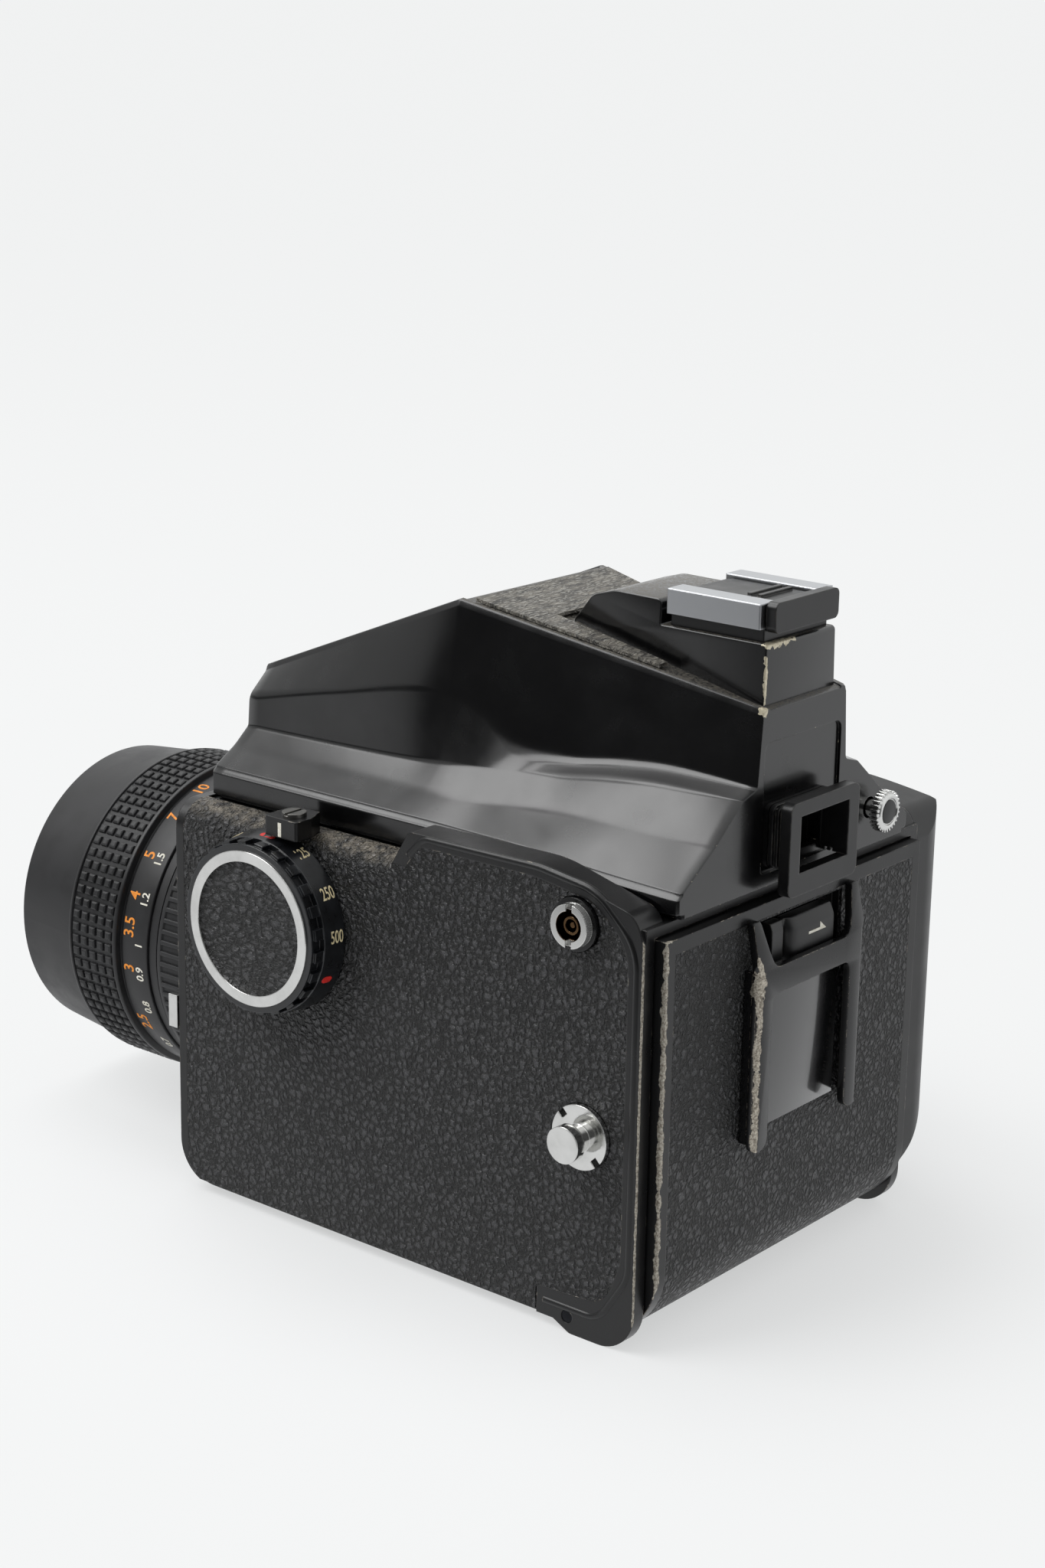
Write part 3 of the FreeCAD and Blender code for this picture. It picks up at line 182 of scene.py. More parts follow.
def prism(name, outline, axis, low, high):
    ends = [[onPlane(axis, a, b, level) for a, b in outline] for level in (low, high)]
    return loft(name, ends)


def block(name, low, high):
    # a cube at its place, in millimetres
    deselectAll()
    centre = (Vector(low) + Vector(high)) / 2 * mm
    bpy.ops.mesh.primitive_cube_add(size=1, location=centre)
    piece = bpy.context.object
    piece.name = name
    piece.scale = (Vector(high) - Vector(low)) * mm
    bpy.ops.object.transform_apply(location=True, rotation=True, scale=True)
    return piece


def middleOf(node):
    low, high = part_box(node)
    return (low + high) / 2 / mm


def mirrored(points):
    # a half outline and its mirror image on the other side, in one round
    return list(points) + [(-x, z, *more) for x, z, *more in reversed(points)]


def lathe(name, profile, x, z, sides, closedLoop=False):
    # turned about an axis along Y, from a profile of (y, radius) in millimetres
    turns = [2 * math.pi * i / sides for i in range(sides)]
    if closedLoop:
        profile = list(profile) + [profile[0]]
    rings = []
    for y, radius in profile:
        reach = max(radius, leastRadius)
        rings.append([onPlane("y", x + reach * math.cos(t), z + reach * math.sin(t), y) for t in turns])
    return loft(name, rings, capStart=not closedLoop, capEnd=not closedLoop)


def copyAround(piece, count, x, z):
    # spin copies of what is modelled once about an axis along Y
    focusOn(piece)
    bpy.ops.object.mode_set(mode="EDIT")
    bpy.ops.mesh.select_all(action="SELECT")
    centre = (x * mm, 0, z * mm)
    bpy.ops.mesh.spin(steps=count, dupli=True, angle=2 * math.pi, center=centre, axis=(0, 1, 0))
    weldMesh(spinWeldGap)


def joinPieces(first, *others):
    deselectAll()
    for piece in (first,) + others:
        piece.select_set(True)
    bpy.context.view_layer.objects.active = first
    bpy.ops.object.join()
    return first


def tubeAlong(name, spots, width, sides):
    # a round bead on a path of points in metres
    deselectAll()
    curve = bpy.data.curves.new(name, "CURVE")
    curve.dimensions = "3D"
    curve.bevel_depth = width / 2 * mm
    curve.bevel_resolution = sides
    curve.use_fill_caps = True
    line = curve.splines.new("POLY")
    line.points.add(len(spots) - 1)
    for point, spot in zip(line.points, spots):
        point.co = (*spot, 1)
    piece = bpy.data.objects.new(name, curve)
    bpy.context.scene.collection.objects.link(piece)
    focusOn(piece)
    bpy.ops.object.convert(target="MESH")
    return bpy.context.object


def textMesh(name, words, height, narrow=0.78, thick=0.06, heavy=0.0):
    # flat numerals in millimetres about their own middle, made a mesh
    deselectAll()
    bpy.ops.object.text_add()
    text = bpy.context.object
    text.name = name
    text.data.body = words
    text.data.align_x = "CENTER"
    text.data.align_y = "CENTER"
    text.data.size = height / capShare * mm
    text.data.extrude = thick / 2 * mm
    text.data.offset = heavy * mm
    text.data.resolution_u = 4
    bpy.ops.object.convert(target="MESH")
    piece = bpy.context.object
    piece.scale.x = narrow
    bpy.ops.object.transform_apply(location=True, rotation=True, scale=True)
    return piece


def mapPoints(piece, rule):
    net = editNet(piece)
    for vert in net.verts:
        vert.co = rule(vert.co)
    bmesh.update_edit_mesh(piece.data)
    deselectAll()


def finishPiece(piece, body, finish, smooth=35, stands=()):
    focusOn(piece)
    bpy.ops.object.transform_apply(location=True, rotation=True, scale=True)
    bpy.ops.object.mode_set(mode="EDIT")
    bpy.ops.mesh.select_all(action="SELECT")
    bpy.ops.mesh.normals_make_consistent(inside=False)
    bpy.ops.object.mode_set(mode="OBJECT")
    bpy.ops.object.shade_smooth_by_angle(angle=math.radians(smooth))
    piece.data.materials.clear()
    piece.data.materials.append(finishes[finish])
    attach(piece, body)
    if stands:
        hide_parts(*stands)
    deselectAll()
    return piece


# Material helpers

def hexColour(code):
    shares = [int(code[i:i + 2], 16) / 255 for i in (1, 3, 5)]
    return [s / 12.92 if s <= 0.04045 else ((s + 0.055) / 1.055) ** 2.4 for s in shares] + [1.0]


def addNode(tree, kind, inputs=None, out=0, **settings):
    # inputs are sockets, hex colours or values, and the output named by out comes back
    node = tree.nodes.new("ShaderNode" + kind)
    for key, value in settings.items():
        setattr(node, key, value)
    for socket, value in (inputs or {}).items():
        if isinstance(value, bpy.types.NodeSocket):
            tree.links.new(value, node.inputs[socket])
        else:
            node.inputs[socket].default_value = hexColour(value) if isinstance(value, str) else value
    return node.outputs[out]


smooth = {"interpolation_type": "SMOOTHSTEP"}


def newMaterial(name, look):
    # look gives the colour, roughness and other values that are the same all over
    material = bpy.data.materials.new(name)
    material.use_nodes = True
    tree = material.node_tree
    shader = tree.nodes["Principled BSDF"]
    shader.inputs["Base Color"].default_value = hexColour(look["colour"])
    shader.inputs["Roughness"].default_value = look["roughness"]
    for socket, value in look.get("sockets", {}).items():
        shader.inputs[socket].default_value = hexColour(value) if isinstance(value, str) else value
    return material, tree, shader


def inMillimetres(tree, stretch=(1, 1, 1), turn=(0, 0, 0), shift=(0, 0, 0)):
    # object coordinates scaled so that one unit is a millimetre
    source = addNode(tree, "TexCoord", out="Object")
    return addNode(tree, "Mapping", {"Vector": source, "Scale": [s / mm for s in stretch],
                                     "Rotation": [math.radians(t) for t in turn], "Location": shift})


def findEdges(tree, radius):
    # a rounded normal, and a value that is 1 along sharp edges and 0 on faces
    rounded = addNode(tree, "Bevel", {"Radius": radius * mm}, samples=6)
    plain = addNode(tree, "NewGeometry", out="Normal")
    agree = addNode(tree, "VectorMath", {0: rounded, 1: plain}, out="Value", operation="DOT_PRODUCT")
    return rounded, addNode(tree, "MapRange", {0: agree, 1: 0.988, 2: 0.84}, **smooth)


def rubbedCorner(tree, space, zone, patches):
    # a ragged band along a corner line; reach says how far it runs each way, and 0 means endless
    away = addNode(tree, "VectorMath", {0: space, 1: zone["line"]}, operation="SUBTRACT")
    share = addNode(tree, "VectorMath", {0: away, 1: [1 / r if r else 0 for r in zone["reach"]]},
                    operation="MULTIPLY")
    distance = addNode(tree, "VectorMath", {0: share}, out="Value", operation="LENGTH")
    ragged = addNode(tree, "Math", {0: patches, 1: zone["ragged"], 2: distance}, operation="MULTIPLY_ADD")
    middle = 1 + zone["ragged"] * 0.5
    return addNode(tree, "MapRange", {0: ragged, 1: middle + 0.12, 2: middle - 0.12}, **smooth)


# Leathercloth is embossed vinyl on cloth: to the eye, dark creases between pebbles with a soft gloss on top. The
# darkness of the creases is painted shade in the colour.
# The real pebbles are about a millimetre wide, and are drawn half as wide again, so that they show
leatherLook = {
    "colour": "#121213", "roughness": 0.30, "dullCrease": 0.3, "sockets": {"IOR": 1.55},
    "pebble": 1.5, "crease": 0.85, "depth": 0.95, "creaseShade": "#030303", "top": "#333335", "dustAndLightTone": "#857d70",
    "dustAndLightHeight": None, "dustAndLightRear": 3.3, "dustAndLightShare": 0.0, "tones": (0.75, 1.55),
    "stretch": (1, 1, 1), "turn": (0, 0, 0),
}


def makeLeather(name, look):
    material, tree, shader = newMaterial(name, look)
    space = inMillimetres(tree, look["stretch"], look["turn"])
    drift = addNode(tree, "TexNoise", {"Vector": space, "Scale": 0.9, "Detail": 2.0}, out="Color")
    shifted = addNode(tree, "VectorMath", {0: drift, 1: (1.5, 1.5, 1.5), 2: space}, operation="MULTIPLY_ADD")
    pebbles = addNode(tree, "TexVoronoi", {"Vector": shifted, "Scale": 1 / look["pebble"]},
                      feature="DISTANCE_TO_EDGE")
    wrinkles = addNode(tree, "TexVoronoi", {"Vector": shifted, "Scale": 1 / look["crease"]},
                       feature="DISTANCE_TO_EDGE")
    swell = addNode(tree, "TexNoise", {"Vector": space, "Scale": 0.55, "Detail": 2.0})
    grit = addNode(tree, "TexNoise", {"Vector": space, "Scale": 5.0, "Detail": 2.0})
    hill = addNode(tree, "MapRange", {0: pebbles, 1: 0.0, 2: 0.34}, **smooth)
    fold = addNode(tree, "MapRange", {0: wrinkles, 1: 0.0, 2: 0.22}, **smooth)
    height = addNode(tree, "Math", {0: fold, 1: 0.34, 2: hill}, operation="MULTIPLY_ADD")
    height = addNode(tree, "Math", {0: swell, 1: 0.9, 2: height}, operation="MULTIPLY_ADD")
    relief = addNode(tree, "Math", {0: grit, 1: 0.10, 2: height}, operation="MULTIPLY_ADD")
    bump = addNode(tree, "Bump", {"Height": relief, "Distance": look["depth"] * 0.5 * mm, "Strength": 1.0})
    tree.links.new(bump, shader.inputs["Normal"])
    # the colour runs with height, from painted shade in the creases to the lighter tops
    lit = addNode(tree, "MapRange", {0: height, 1: look["tones"][0], 2: look["tones"][1]}, **smooth)
    tone = addNode(tree, "Mix", {0: lit, 6: look["creaseShade"], 7: look["top"]}, out=2, data_type="RGBA")
    if look["dustAndLightShare"]:
        # pale dust lies in patches, most of it where the covering turns over the top edge, and there it is also
        # painted light
        cover = addNode(tree, "TexNoise", {"Vector": space, "Scale": 0.5, "Detail": 5.0, "Roughness": 0.65})
        cover = addNode(tree, "MapRange", {0: cover, 1: 0.34, 2: 0.70, 4: look["dustAndLightShare"]}, **smooth)
        if look["dustAndLightHeight"]:
            place = inMillimetres(tree)
            low, high = look["dustAndLightHeight"]
            level = addNode(tree, "SeparateXYZ", {0: place}, out="Z")
            level = addNode(tree, "MapRange", {0: level, 1: low, 2: high}, **smooth)
            ahead = addNode(tree, "SeparateXYZ", {0: place}, out="Y")
            ahead = addNode(tree, "MapRange", {0: ahead, 1: look["dustAndLightRear"], 2: look["dustAndLightRear"] - 0.6})
            cover = addNode(tree, "Math", {0: cover, 1: level}, operation="MULTIPLY")
            cover = addNode(tree, "Math", {0: cover, 1: ahead}, operation="MULTIPLY")
        tone = addNode(tree, "Mix", {0: cover, 6: tone, 7: look["dustAndLightTone"]}, out=2, data_type="RGBA")
    tree.links.new(tone, shader.inputs["Base Color"])
    gloss = addNode(tree, "MapRange", {0: height, 1: 0.5, 2: 1.8, 3: look["roughness"] + look["dullCrease"],
                                       4: look["roughness"]})
    tree.links.new(gloss, shader.inputs["Roughness"])
    return material


# Stove enamel on cast alloy: a satin black with soft broad glints, rubbed through to grey metal on the edges
enamelLook = {
    "colour": "#0d0d0e", "roughness": 0.30, "sockets": {"IOR": 1.5}, "metal": "#6e665b", "shine": "#bdb8ac",
    "primer": "#3a2f27", "edge": 0.34, "patch": 2.0, "grain": 2.6, "depth": 0.014, "worn": (0.50, 0.66),
    "corners": [], "dustAndLightTone": None, "dustAndLightFacing": (0.86, 0.97), "dustAndLightHeight": 104.0,
}


def makeEnamel(name, look):
    material, tree, shader = newMaterial(name, look)
    space = inMillimetres(tree)
    rounded, edge = findEdges(tree, look["edge"])
    patches = addNode(tree, "TexNoise", {"Vector": space, "Scale": 1 / look["patch"], "Detail": 6.0,
                                         "Roughness": 0.64})
    spread = addNode(tree, "MapRange", {0: patches, 1: look["worn"][0], 2: look["worn"][1]}, **smooth)
    rubbed = addNode(tree, "Math", {0: edge, 1: spread}, operation="MULTIPLY")
    for zone in look["corners"]:
        band = rubbedCorner(tree, space, zone, patches)
        rubbed = addNode(tree, "Math", {0: rubbed, 1: band}, operation="MAXIMUM")
    bare = addNode(tree, "MapRange", {0: rubbed, 1: 0.44, 2: 0.60}, **smooth)
    primed = addNode(tree, "MapRange", {0: rubbed, 1: 0.12, 2: 0.46}, **smooth)
    brush = addNode(tree, "TexNoise", {"Vector": space, "Scale": 2.4, "Detail": 4.0, "Roughness": 0.7})
    brush = addNode(tree, "MapRange", {0: brush, 1: 0.34, 2: 0.66}, **smooth)
    metal = addNode(tree, "Mix", {0: brush, 6: look["metal"], 7: look["shine"]}, out=2, data_type="RGBA")
    tone = addNode(tree, "Mix", {0: primed, 6: look["colour"], 7: look["primer"]}, out=2, data_type="RGBA")
    tone = addNode(tree, "Mix", {0: bare, 6: tone, 7: metal}, out=2, data_type="RGBA")
    dull = 0.0
    if look["dustAndLightTone"]:
        # grey brown dust that settles where the top is nearly level, where it is also painted light on the upward
        # faces
        facing = addNode(tree, "SeparateXYZ", {0: addNode(tree, "NewGeometry", out="Normal")}, out="Z")
        least, full = look["dustAndLightFacing"]
        facing = addNode(tree, "MapRange", {0: facing, 1: least, 2: full}, **smooth)
        level = addNode(tree, "SeparateXYZ", {0: space}, out="Z")
        level = addNode(tree, "MapRange", {0: level, 1: look["dustAndLightHeight"], 2: look["dustAndLightHeight"] + 1.0})
        specks = addNode(tree, "TexNoise", {"Vector": space, "Scale": 1.6, "Detail": 6.0, "Roughness": 0.8})
        specks = addNode(tree, "MapRange", {0: specks, 1: 0.40, 2: 0.62, 4: 0.75}, **smooth)
        dull = addNode(tree, "Math", {0: facing, 1: level}, operation="MULTIPLY")
        dull = addNode(tree, "Math", {0: dull, 1: specks}, operation="MULTIPLY")
        tone = addNode(tree, "Mix", {0: dull, 6: tone, 7: look["dustAndLightTone"]}, out=2, data_type="RGBA")
    tree.links.new(tone, shader.inputs["Base Color"])
    tree.links.new(addNode(tree, "Math", {0: bare, 1: 0.6}, operation="MULTIPLY"), shader.inputs["Metallic"])
    haze = addNode(tree, "TexNoise", {"Vector": space, "Scale": 0.12, "Detail": 5.0, "Roughness": 0.6})
    satin = addNode(tree, "MapRange", {0: haze, 1: 0.3, 2: 0.7, 3: look["roughness"] - 0.05,
                                       4: look["roughness"] + 0.08})
    rough = addNode(tree, "Mix", {0: bare, 2: satin, 3: 0.45}, data_type="FLOAT")
    rough = addNode(tree, "Math", {0: rough, 1: dull}, operation="ADD")
    tree.links.new(rough, shader.inputs["Roughness"])
    grain = addNode(tree, "TexNoise", {"Vector": space, "Scale": look["grain"], "Detail": 2.0})
    height = addNode(tree, "Math", {0: bare, 1: -1.6, 2: grain}, operation="MULTIPLY_ADD")
    bump = addNode(tree, "Bump", {"Height": height, "Distance": look["depth"] * mm, "Strength": 1.0,
                                  "Normal": rounded})
    tree.links.new(bump, shader.inputs["Normal"])
    return material


# Moulded or turned blacks, metals and paints: fine grain, a faint haze and a rounded edge that may be rubbed
def makePlain(name, look):
    material, tree, shader = newMaterial(name, look)
    space = inMillimetres(tree, look.get("stretch", (1, 1, 1)))
    rounded, edge = findEdges(tree, look.get("edge", 0.25))
    haze = addNode(tree, "TexNoise", {"Vector": space, "Scale": 1 / look.get("haze", 7.0), "Detail": 4.0,
                                      "Roughness": 0.6})
    cloud = addNode(tree, "MapRange", {0: haze, 1: 0.3, 2: 0.75}, **smooth)
    tone = addNode(tree, "Mix", {0: cloud, 6: look["colour"], 7: look.get("other", look["colour"])},
                   out=2, data_type="RGBA")
    if "rub" in look:
        fleck = addNode(tree, "TexNoise", {"Vector": space, "Scale": 0.7, "Detail": 4.0})
        fleck = addNode(tree, "MapRange", {0: fleck, 1: 0.38, 2: 0.60}, **smooth)
        worn = addNode(tree, "Math", {0: edge, 1: fleck}, operation="MULTIPLY")
        tone = addNode(tree, "Mix", {0: worn, 6: tone, 7: look["rub"]}, out=2, data_type="RGBA")
    tree.links.new(tone, shader.inputs["Base Color"])
    rough = look["roughness"]
    gloss = addNode(tree, "MapRange", {0: haze, 1: 0.25, 2: 0.75, 3: rough * 0.85, 4: rough * 1.2}, **smooth)
    tree.links.new(gloss, shader.inputs["Roughness"])
    grain = addNode(tree, "TexNoise", {"Vector": space, "Scale": 1 / look.get("grain", 0.3), "Detail": 3.0})
    bump = addNode(tree, "Bump", {"Height": grain, "Distance": look.get("depth", 0.006) * mm, "Strength": 1.0,
                                  "Normal": rounded})
    tree.links.new(bump, shader.inputs["Normal"])
    return material


def metalLook(colour, roughness, **more):
    return dict({"colour": colour, "roughness": roughness, "sockets": {"Metallic": 1.0}}, **more)


plainLooks = {
    # moulded polycarbonate: spark erosion of the mould leaves a fine grain that spreads each glint
    "mouldedBlack": {
        "colour": "#0d0d0e", "other": "#131314", "roughness": 0.34, "grain": 0.22, "depth": 0.010, "edge": 0.35,
        "rub": "#2c2c2e", "sockets": {"IOR": 1.5}},
    # injection-moulded ABS of the eyepiece, latch and shoe cover: a smooth satin, greyer on handled edges
    "satinPlastic": {
        "colour": "#0e0e0f", "other": "#151516", "roughness": 0.33, "edge": 0.4, "rub": "#45433f",
        "sockets": {"IOR": 1.52}},
    # black anodised aluminium, turned: the lens barrel looks a dry dark grey with long soft glints
    "lensAnodised": {
        "colour": "#1b1b1c", "other": "#222224", "roughness": 0.42, "grain": 0.3, "edge": 0.25,
        "rub": "#333436", "sockets": {"IOR": 1.5}},
    # the same on the dial, where fingers have rubbed the teeth to blue grey metal
    "dialAnodised": {
        "colour": "#0b0c0e", "other": "#14161a", "roughness": 0.30, "edge": 0.3, "rub": "#33363a", "haze": 3.0,
        "sockets": {"IOR": 1.6}},
    # polished nickel chrome: bright, with clear reflections that are darkest where it faces the room
    "brightChrome": metalLook("#e4e4e2", 0.12, other="#d2d2d0", edge=0.3),
    # chrome over turned steel, which looks duller and greyer
    "turnedSteel": metalLook("#8f8e8a", 0.36, other="#7a7976", edge=0.2),
    # milled brass: yellow, with a blurred glint
    "machinedBrass": metalLook("#b58d48", 0.34, other="#a67f3e", edge=0.2),
    # chemically blackened steel: nearly black, with a weak metallic sheen
    "blackenedSteel": metalLook("#2c2d30", 0.42, other="#222326", edge=0.15),
    # woven and rubberised cloth: no glint, and a faint pale bloom at a flat angle
    "curtainCloth": {"colour": "#0c0c0d", "other": "#131314", "roughness": 0.85, "grain": 0.4, "depth": 0.03,
                     "sockets": {"Sheen Weight": 0.15}},
    # matt paint inside the finder, which swallows nearly all light
    "flatBlack": {"colour": "#030303", "other": "#060606", "roughness": 0.8, "sockets": {"IOR": 1.3}},
    # engraving paints: flat colour with no glint, a little uneven where it was wiped in
    "creamPaint": {"colour": "#e0d2ab", "other": "#c9b98e", "roughness": 0.55, "haze": 0.8},
    "whitePaint": {"colour": "#e4e1d6", "other": "#cfcaba", "roughness": 0.55, "haze": 0.8},
    "orangePaint": {"colour": "#ee9430", "other": "#d07c22", "roughness": 0.55, "haze": 0.8},
    "redPaint": {"colour": "#d6271f", "other": "#a81c18", "roughness": 0.5, "haze": 0.8},
}


# Polished optical glass: clear, with sharp reflections that a faint smear softens here and there
def makeGlass(name, look):
    material, tree, shader = newMaterial(name, look)
    smear = addNode(tree, "TexNoise", {"Vector": inMillimetres(tree), "Scale": 0.16, "Detail": 3.0})
    gloss = addNode(tree, "MapRange", {0: smear, 1: 0.3, 2: 0.8, 3: 0.01, 4: 0.06})
    tree.links.new(gloss, shader.inputs["Roughness"])
    return material


# Chromed and lacquered socket: a bright ring between a black collar and a dull brass contact
def makeSocketMetal(name, look):
    # the three are one node, so they are told apart by their radius
    material, tree, shader = newMaterial(name, look)
    centre = middleOf("flash_socket")
    space = inMillimetres(tree, shift=(0, -centre.y, -centre.z))
    flat = addNode(tree, "VectorMath", {0: space, 1: (0, 1, 1)}, operation="MULTIPLY")
    radius = addNode(tree, "VectorMath", {0: flat}, out="Value", operation="LENGTH")
    collar = addNode(tree, "MapRange", {0: radius, 1: look["collarRadius"], 2: look["collarRadius"] + 0.03})
    ring = addNode(tree, "MapRange", {0: radius, 1: look["ringRadius"], 2: look["ringRadius"] + 0.06})
    tone = addNode(tree, "Mix", {0: ring, 6: look["contact"], 7: look["colour"]}, out=2, data_type="RGBA")
    tone = addNode(tree, "Mix", {0: collar, 6: tone, 7: look["collar"]}, out=2, data_type="RGBA")
    tree.links.new(tone, shader.inputs["Base Color"])
    metal = addNode(tree, "Math", {0: 1.0, 1: collar}, operation="SUBTRACT")
    tree.links.new(metal, shader.inputs["Metallic"])
    rounded = addNode(tree, "Bevel", {"Radius": look["edge"] * mm}, samples=6)
    tree.links.new(rounded, shader.inputs["Normal"])
    return material


# Bead-blasted chrome: the shoe's rails look a pale satin grey with a broad glint, over a black foot
def makeShoeMetal(name, look):
    material, tree, shader = newMaterial(name, look)
    space = inMillimetres(tree)
    level = addNode(tree, "SeparateXYZ", {0: space}, out="Z")
    rail = addNode(tree, "MapRange", {0: level, 1: look["footTop"], 2: look["footTop"] + 0.1})
    tone = addNode(tree, "Mix", {0: rail, 6: look["foot"], 7: look["colour"]}, out=2, data_type="RGBA")
    tree.links.new(tone, shader.inputs["Base Color"])
    tree.links.new(rail, shader.inputs["Metallic"])
    grain = addNode(tree, "TexNoise", {"Vector": space, "Scale": look["grain"], "Detail": 2.0})
    rounded = addNode(tree, "Bevel", {"Radius": look["edge"] * mm}, samples=6)
    bump = addNode(tree, "Bump", {"Height": grain, "Distance": look["depth"] * mm, "Strength": 1.0,
                                  "Normal": rounded})
    tree.links.new(bump, shader.inputs["Normal"])
    return material


doorHigh, holderHigh, bodyHigh = [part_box(node)[1] / mm for node in ("back_door", "memo_holder", "body_casting")]
leatherLooks = {
    "pebbledLeather": {},
    # dust in the creases and painted light along the top edge turn the left side's cloth a warm grey there
    "edgeLeather": {"dustAndLightShare": 0.9, "dustAndLightHeight": (74.4, 76.8)},
    # the dial's disc is cut at a slant, so its grain runs across it
    "dialLeather": {"pebble": 1.6, "crease": 0.9, "stretch": (1, 0.7, 1.25), "turn": (35, 0, 0)},
    # a finer weave on the roof, dusty, and coloured lighter as painted sheen of the light glancing off it, which
    # reads as mid grey
    "roofLeather": {"pebble": 1.0, "crease": 0.5, "depth": 0.35, "top": "#7d7b75", "creaseShade": "#33312e",
                    "dustAndLightShare": 0.5, "dustAndLightTone": "#a59f93", "stretch": (0.45, 1.7, 1)},
}
enamelLooks = {
    "bodyEnamel": {"corners": [{"line": (bodyHigh.x, bodyHigh.y, 40), "reach": (0.3, 0.28, 0), "ragged": 2.6}]},
    # the door's free edge is rubbed along its whole height, which draws a pale broken line
    "doorEnamel": {"corners": [
        {"line": (doorHigh.x, doorHigh.y - 0.1, 40), "reach": (0.62, 0.6, 0), "ragged": 3.6},
        {"line": (doorHigh.x, doorHigh.y, 74.5), "reach": (2.4, 0.8, 0.8), "ragged": 2.4}]},
    # the holder is glossier, and worn most on the arm that a hand meets
    "holderEnamel": {"shine": "#c9c2b4", "roughness": 0.22, "patch": 1.6, "worn": (0.44, 0.60), "corners": [
        {"line": (holderHigh.x - 0.3, holderHigh.y, 45), "reach": (1.0, 0.6, 0), "ragged": 3.2},
        {"line": (holderHigh.x, holderHigh.y, 61.0), "reach": (2.0, 1.6, 3.0), "ragged": 2.4}]},
    # sheet steel in gloss enamel: a mirror-like grey gradient under the holder's bar
    "plateGloss": {"roughness": 0.2, "worn": (0.9, 1.0), "grain": 0.4, "colour": "#121213",
                   "sockets": {"IOR": 1.65, "Coat Weight": 1.0, "Coat Roughness": 0.08}},
    # gloss lacquer on the die-cast finder: deep black with soft reflections, chipped to pale primer on corners
    "finderLacquer": {
        "colour": "#060607", "roughness": 0.22, "metal": "#b3a990", "shine": "#d8d0ba", "primer": "#6b6557",
        "edge": 0.3, "worn": (0.58, 0.68), "grain": 0.25, "dustAndLightTone": "#6a655b", "patch": 1.3,
        "sockets": {"IOR": 1.5, "Coat Weight": 0.45, "Coat Roughness": 0.15}, "corners": [
            {"line": (7.5, 58.6, 119.1), "reach": (6.0, 1.1, 1.0), "ragged": 2.8},
            {"line": (10.3, 58.6, 113.0), "reach": (0.45, 0.45, 4.0), "ragged": 2.6},
            {"line": (12.2, 60.0, 108.3), "reach": (1.2, 1.0, 1.3), "ragged": 2.4},
            {"line": (14.6, 60.0, 103.5), "reach": (0.5, 0.5, 3.0), "ragged": 2.6}]},
}
finishes = {name: makePlain(name, look) for name, look in plainLooks.items()}
for name, look in leatherLooks.items():
    finishes[name] = makeLeather(name, dict(leatherLook, **look))
for name, look in enamelLooks.items():
    finishes[name] = makeEnamel(name, dict(enamelLook, **look))
# coated lenses throw back a faint violet
finishes["opticalGlass"] = makeGlass("opticalGlass", {
    "colour": "#f2f5fa", "roughness": 0.03,
    "sockets": {"IOR": 1.52, "Transmission Weight": 1.0, "Coat Weight": 0.6, "Coat Roughness": 0.02,
                "Coat IOR": 1.7, "Coat Tint": "#b9a7e0"}})
# the eyepiece looks into the dark prism, and its glass is coloured nearly black as painted shade
finishes["shadeDarkenedGlass"] = makeGlass("shadeDarkenedGlass", {
    "colour": "#2b2b2d", "roughness": 0.03, "sockets": {"IOR": 1.45, "Transmission Weight": 1.0}})
# front-silvered mirror: a clear, almost colourless picture of the room
finishes["reflexMirror"] = makePlain("reflexMirror", metalLook("#eef0f1", 0.03, edge=0.1))
finishes["flashSocketMetal"] = makeSocketMetal("flashSocketMetal", {
    "colour": "#e4e4e2", "roughness": 0.14, "contact": "#6b543c", "collar": "#0c0c0d", "collarRadius": 3.84,
    "ringRadius": 2.62, "edge": 0.2})
finishes["shoeMetal"] = makeShoeMetal("shoeMetal", {
    "colour": "#c2c4c7", "roughness": 0.32, "foot": "#0d0d0e", "footTop": 121.3, "grain": 7.0, "depth": 0.02,
    "edge": 0.5})
print("materials:", len(finishes))


# CAD nodes that stay, and the finish that each gets
nodeFinishes = {
    "bodyEnamel": ["body_casting", "front_plate", "film_insert", "index_block"],
    "doorEnamel": ["back_door"],
    "holderEnamel": ["memo_holder"],
    "mouldedBlack": ["right_cover", "bottom_plate", "battery_cover", "multi_exposure_lever"],
    "edgeLeather": ["left_leatherette"],
    "pebbledLeather": ["right_leatherette", "front_leatherette", "door_leatherette"],
    "roofLeather": ["finder_leatherette"],
    "dialLeather": ["dial_leatherette"],
    "finderLacquer": ["finder_housing"],
    "satinPlastic": ["eyepiece_frame", "shoe_cover", "crank_grip", "door_latch", "supply_spool",
                     "take_up_spool"],
    "lensAnodised": ["lens_barrel", "front_barrel", "focus_ring", "aperture_ring"],
    "dialAnodised": ["shutter_dial", "advance_knob", "crank_arm", "release_collar", "mirror_frame"],
    "brightChrome": ["lens_mount_ring", "dial_ring", "strap_lugs", "lens_release", "finder_release",
                     "release_button", "top_button"],
    "shoeMetal": ["accessory_shoe"],
    "flashSocketMetal": ["flash_socket"],
    "turnedSteel": ["screws", "tripod_bush", "curtain_rollers", "battery"],
    "machinedBrass": ["take_up_gear"],
    "blackenedSteel": ["pressure_plate", "door_hinge_pin"] + ["iris_blade_%d" % i for i in range(1, 6)],
    "curtainCloth": ["shutter_curtain"],
    "opticalGlass": ["front_glass", "rear_glass", "focusing_screen"],
    "shadeDarkenedGlass": ["eyepiece_glass"],
    "flatBlack": ["finder_prism"],
    "reflexMirror": ["mirror_glass"],
}


def dressNodes():
    for finish, names in nodeFinishes.items():
        for name in names:
            for place in nodes[name].material_slots:
                place.material = finishes[finish]


dressNodes()
print("CAD nodes dressed:", sum(len(names) for names in nodeFinishes.values()))


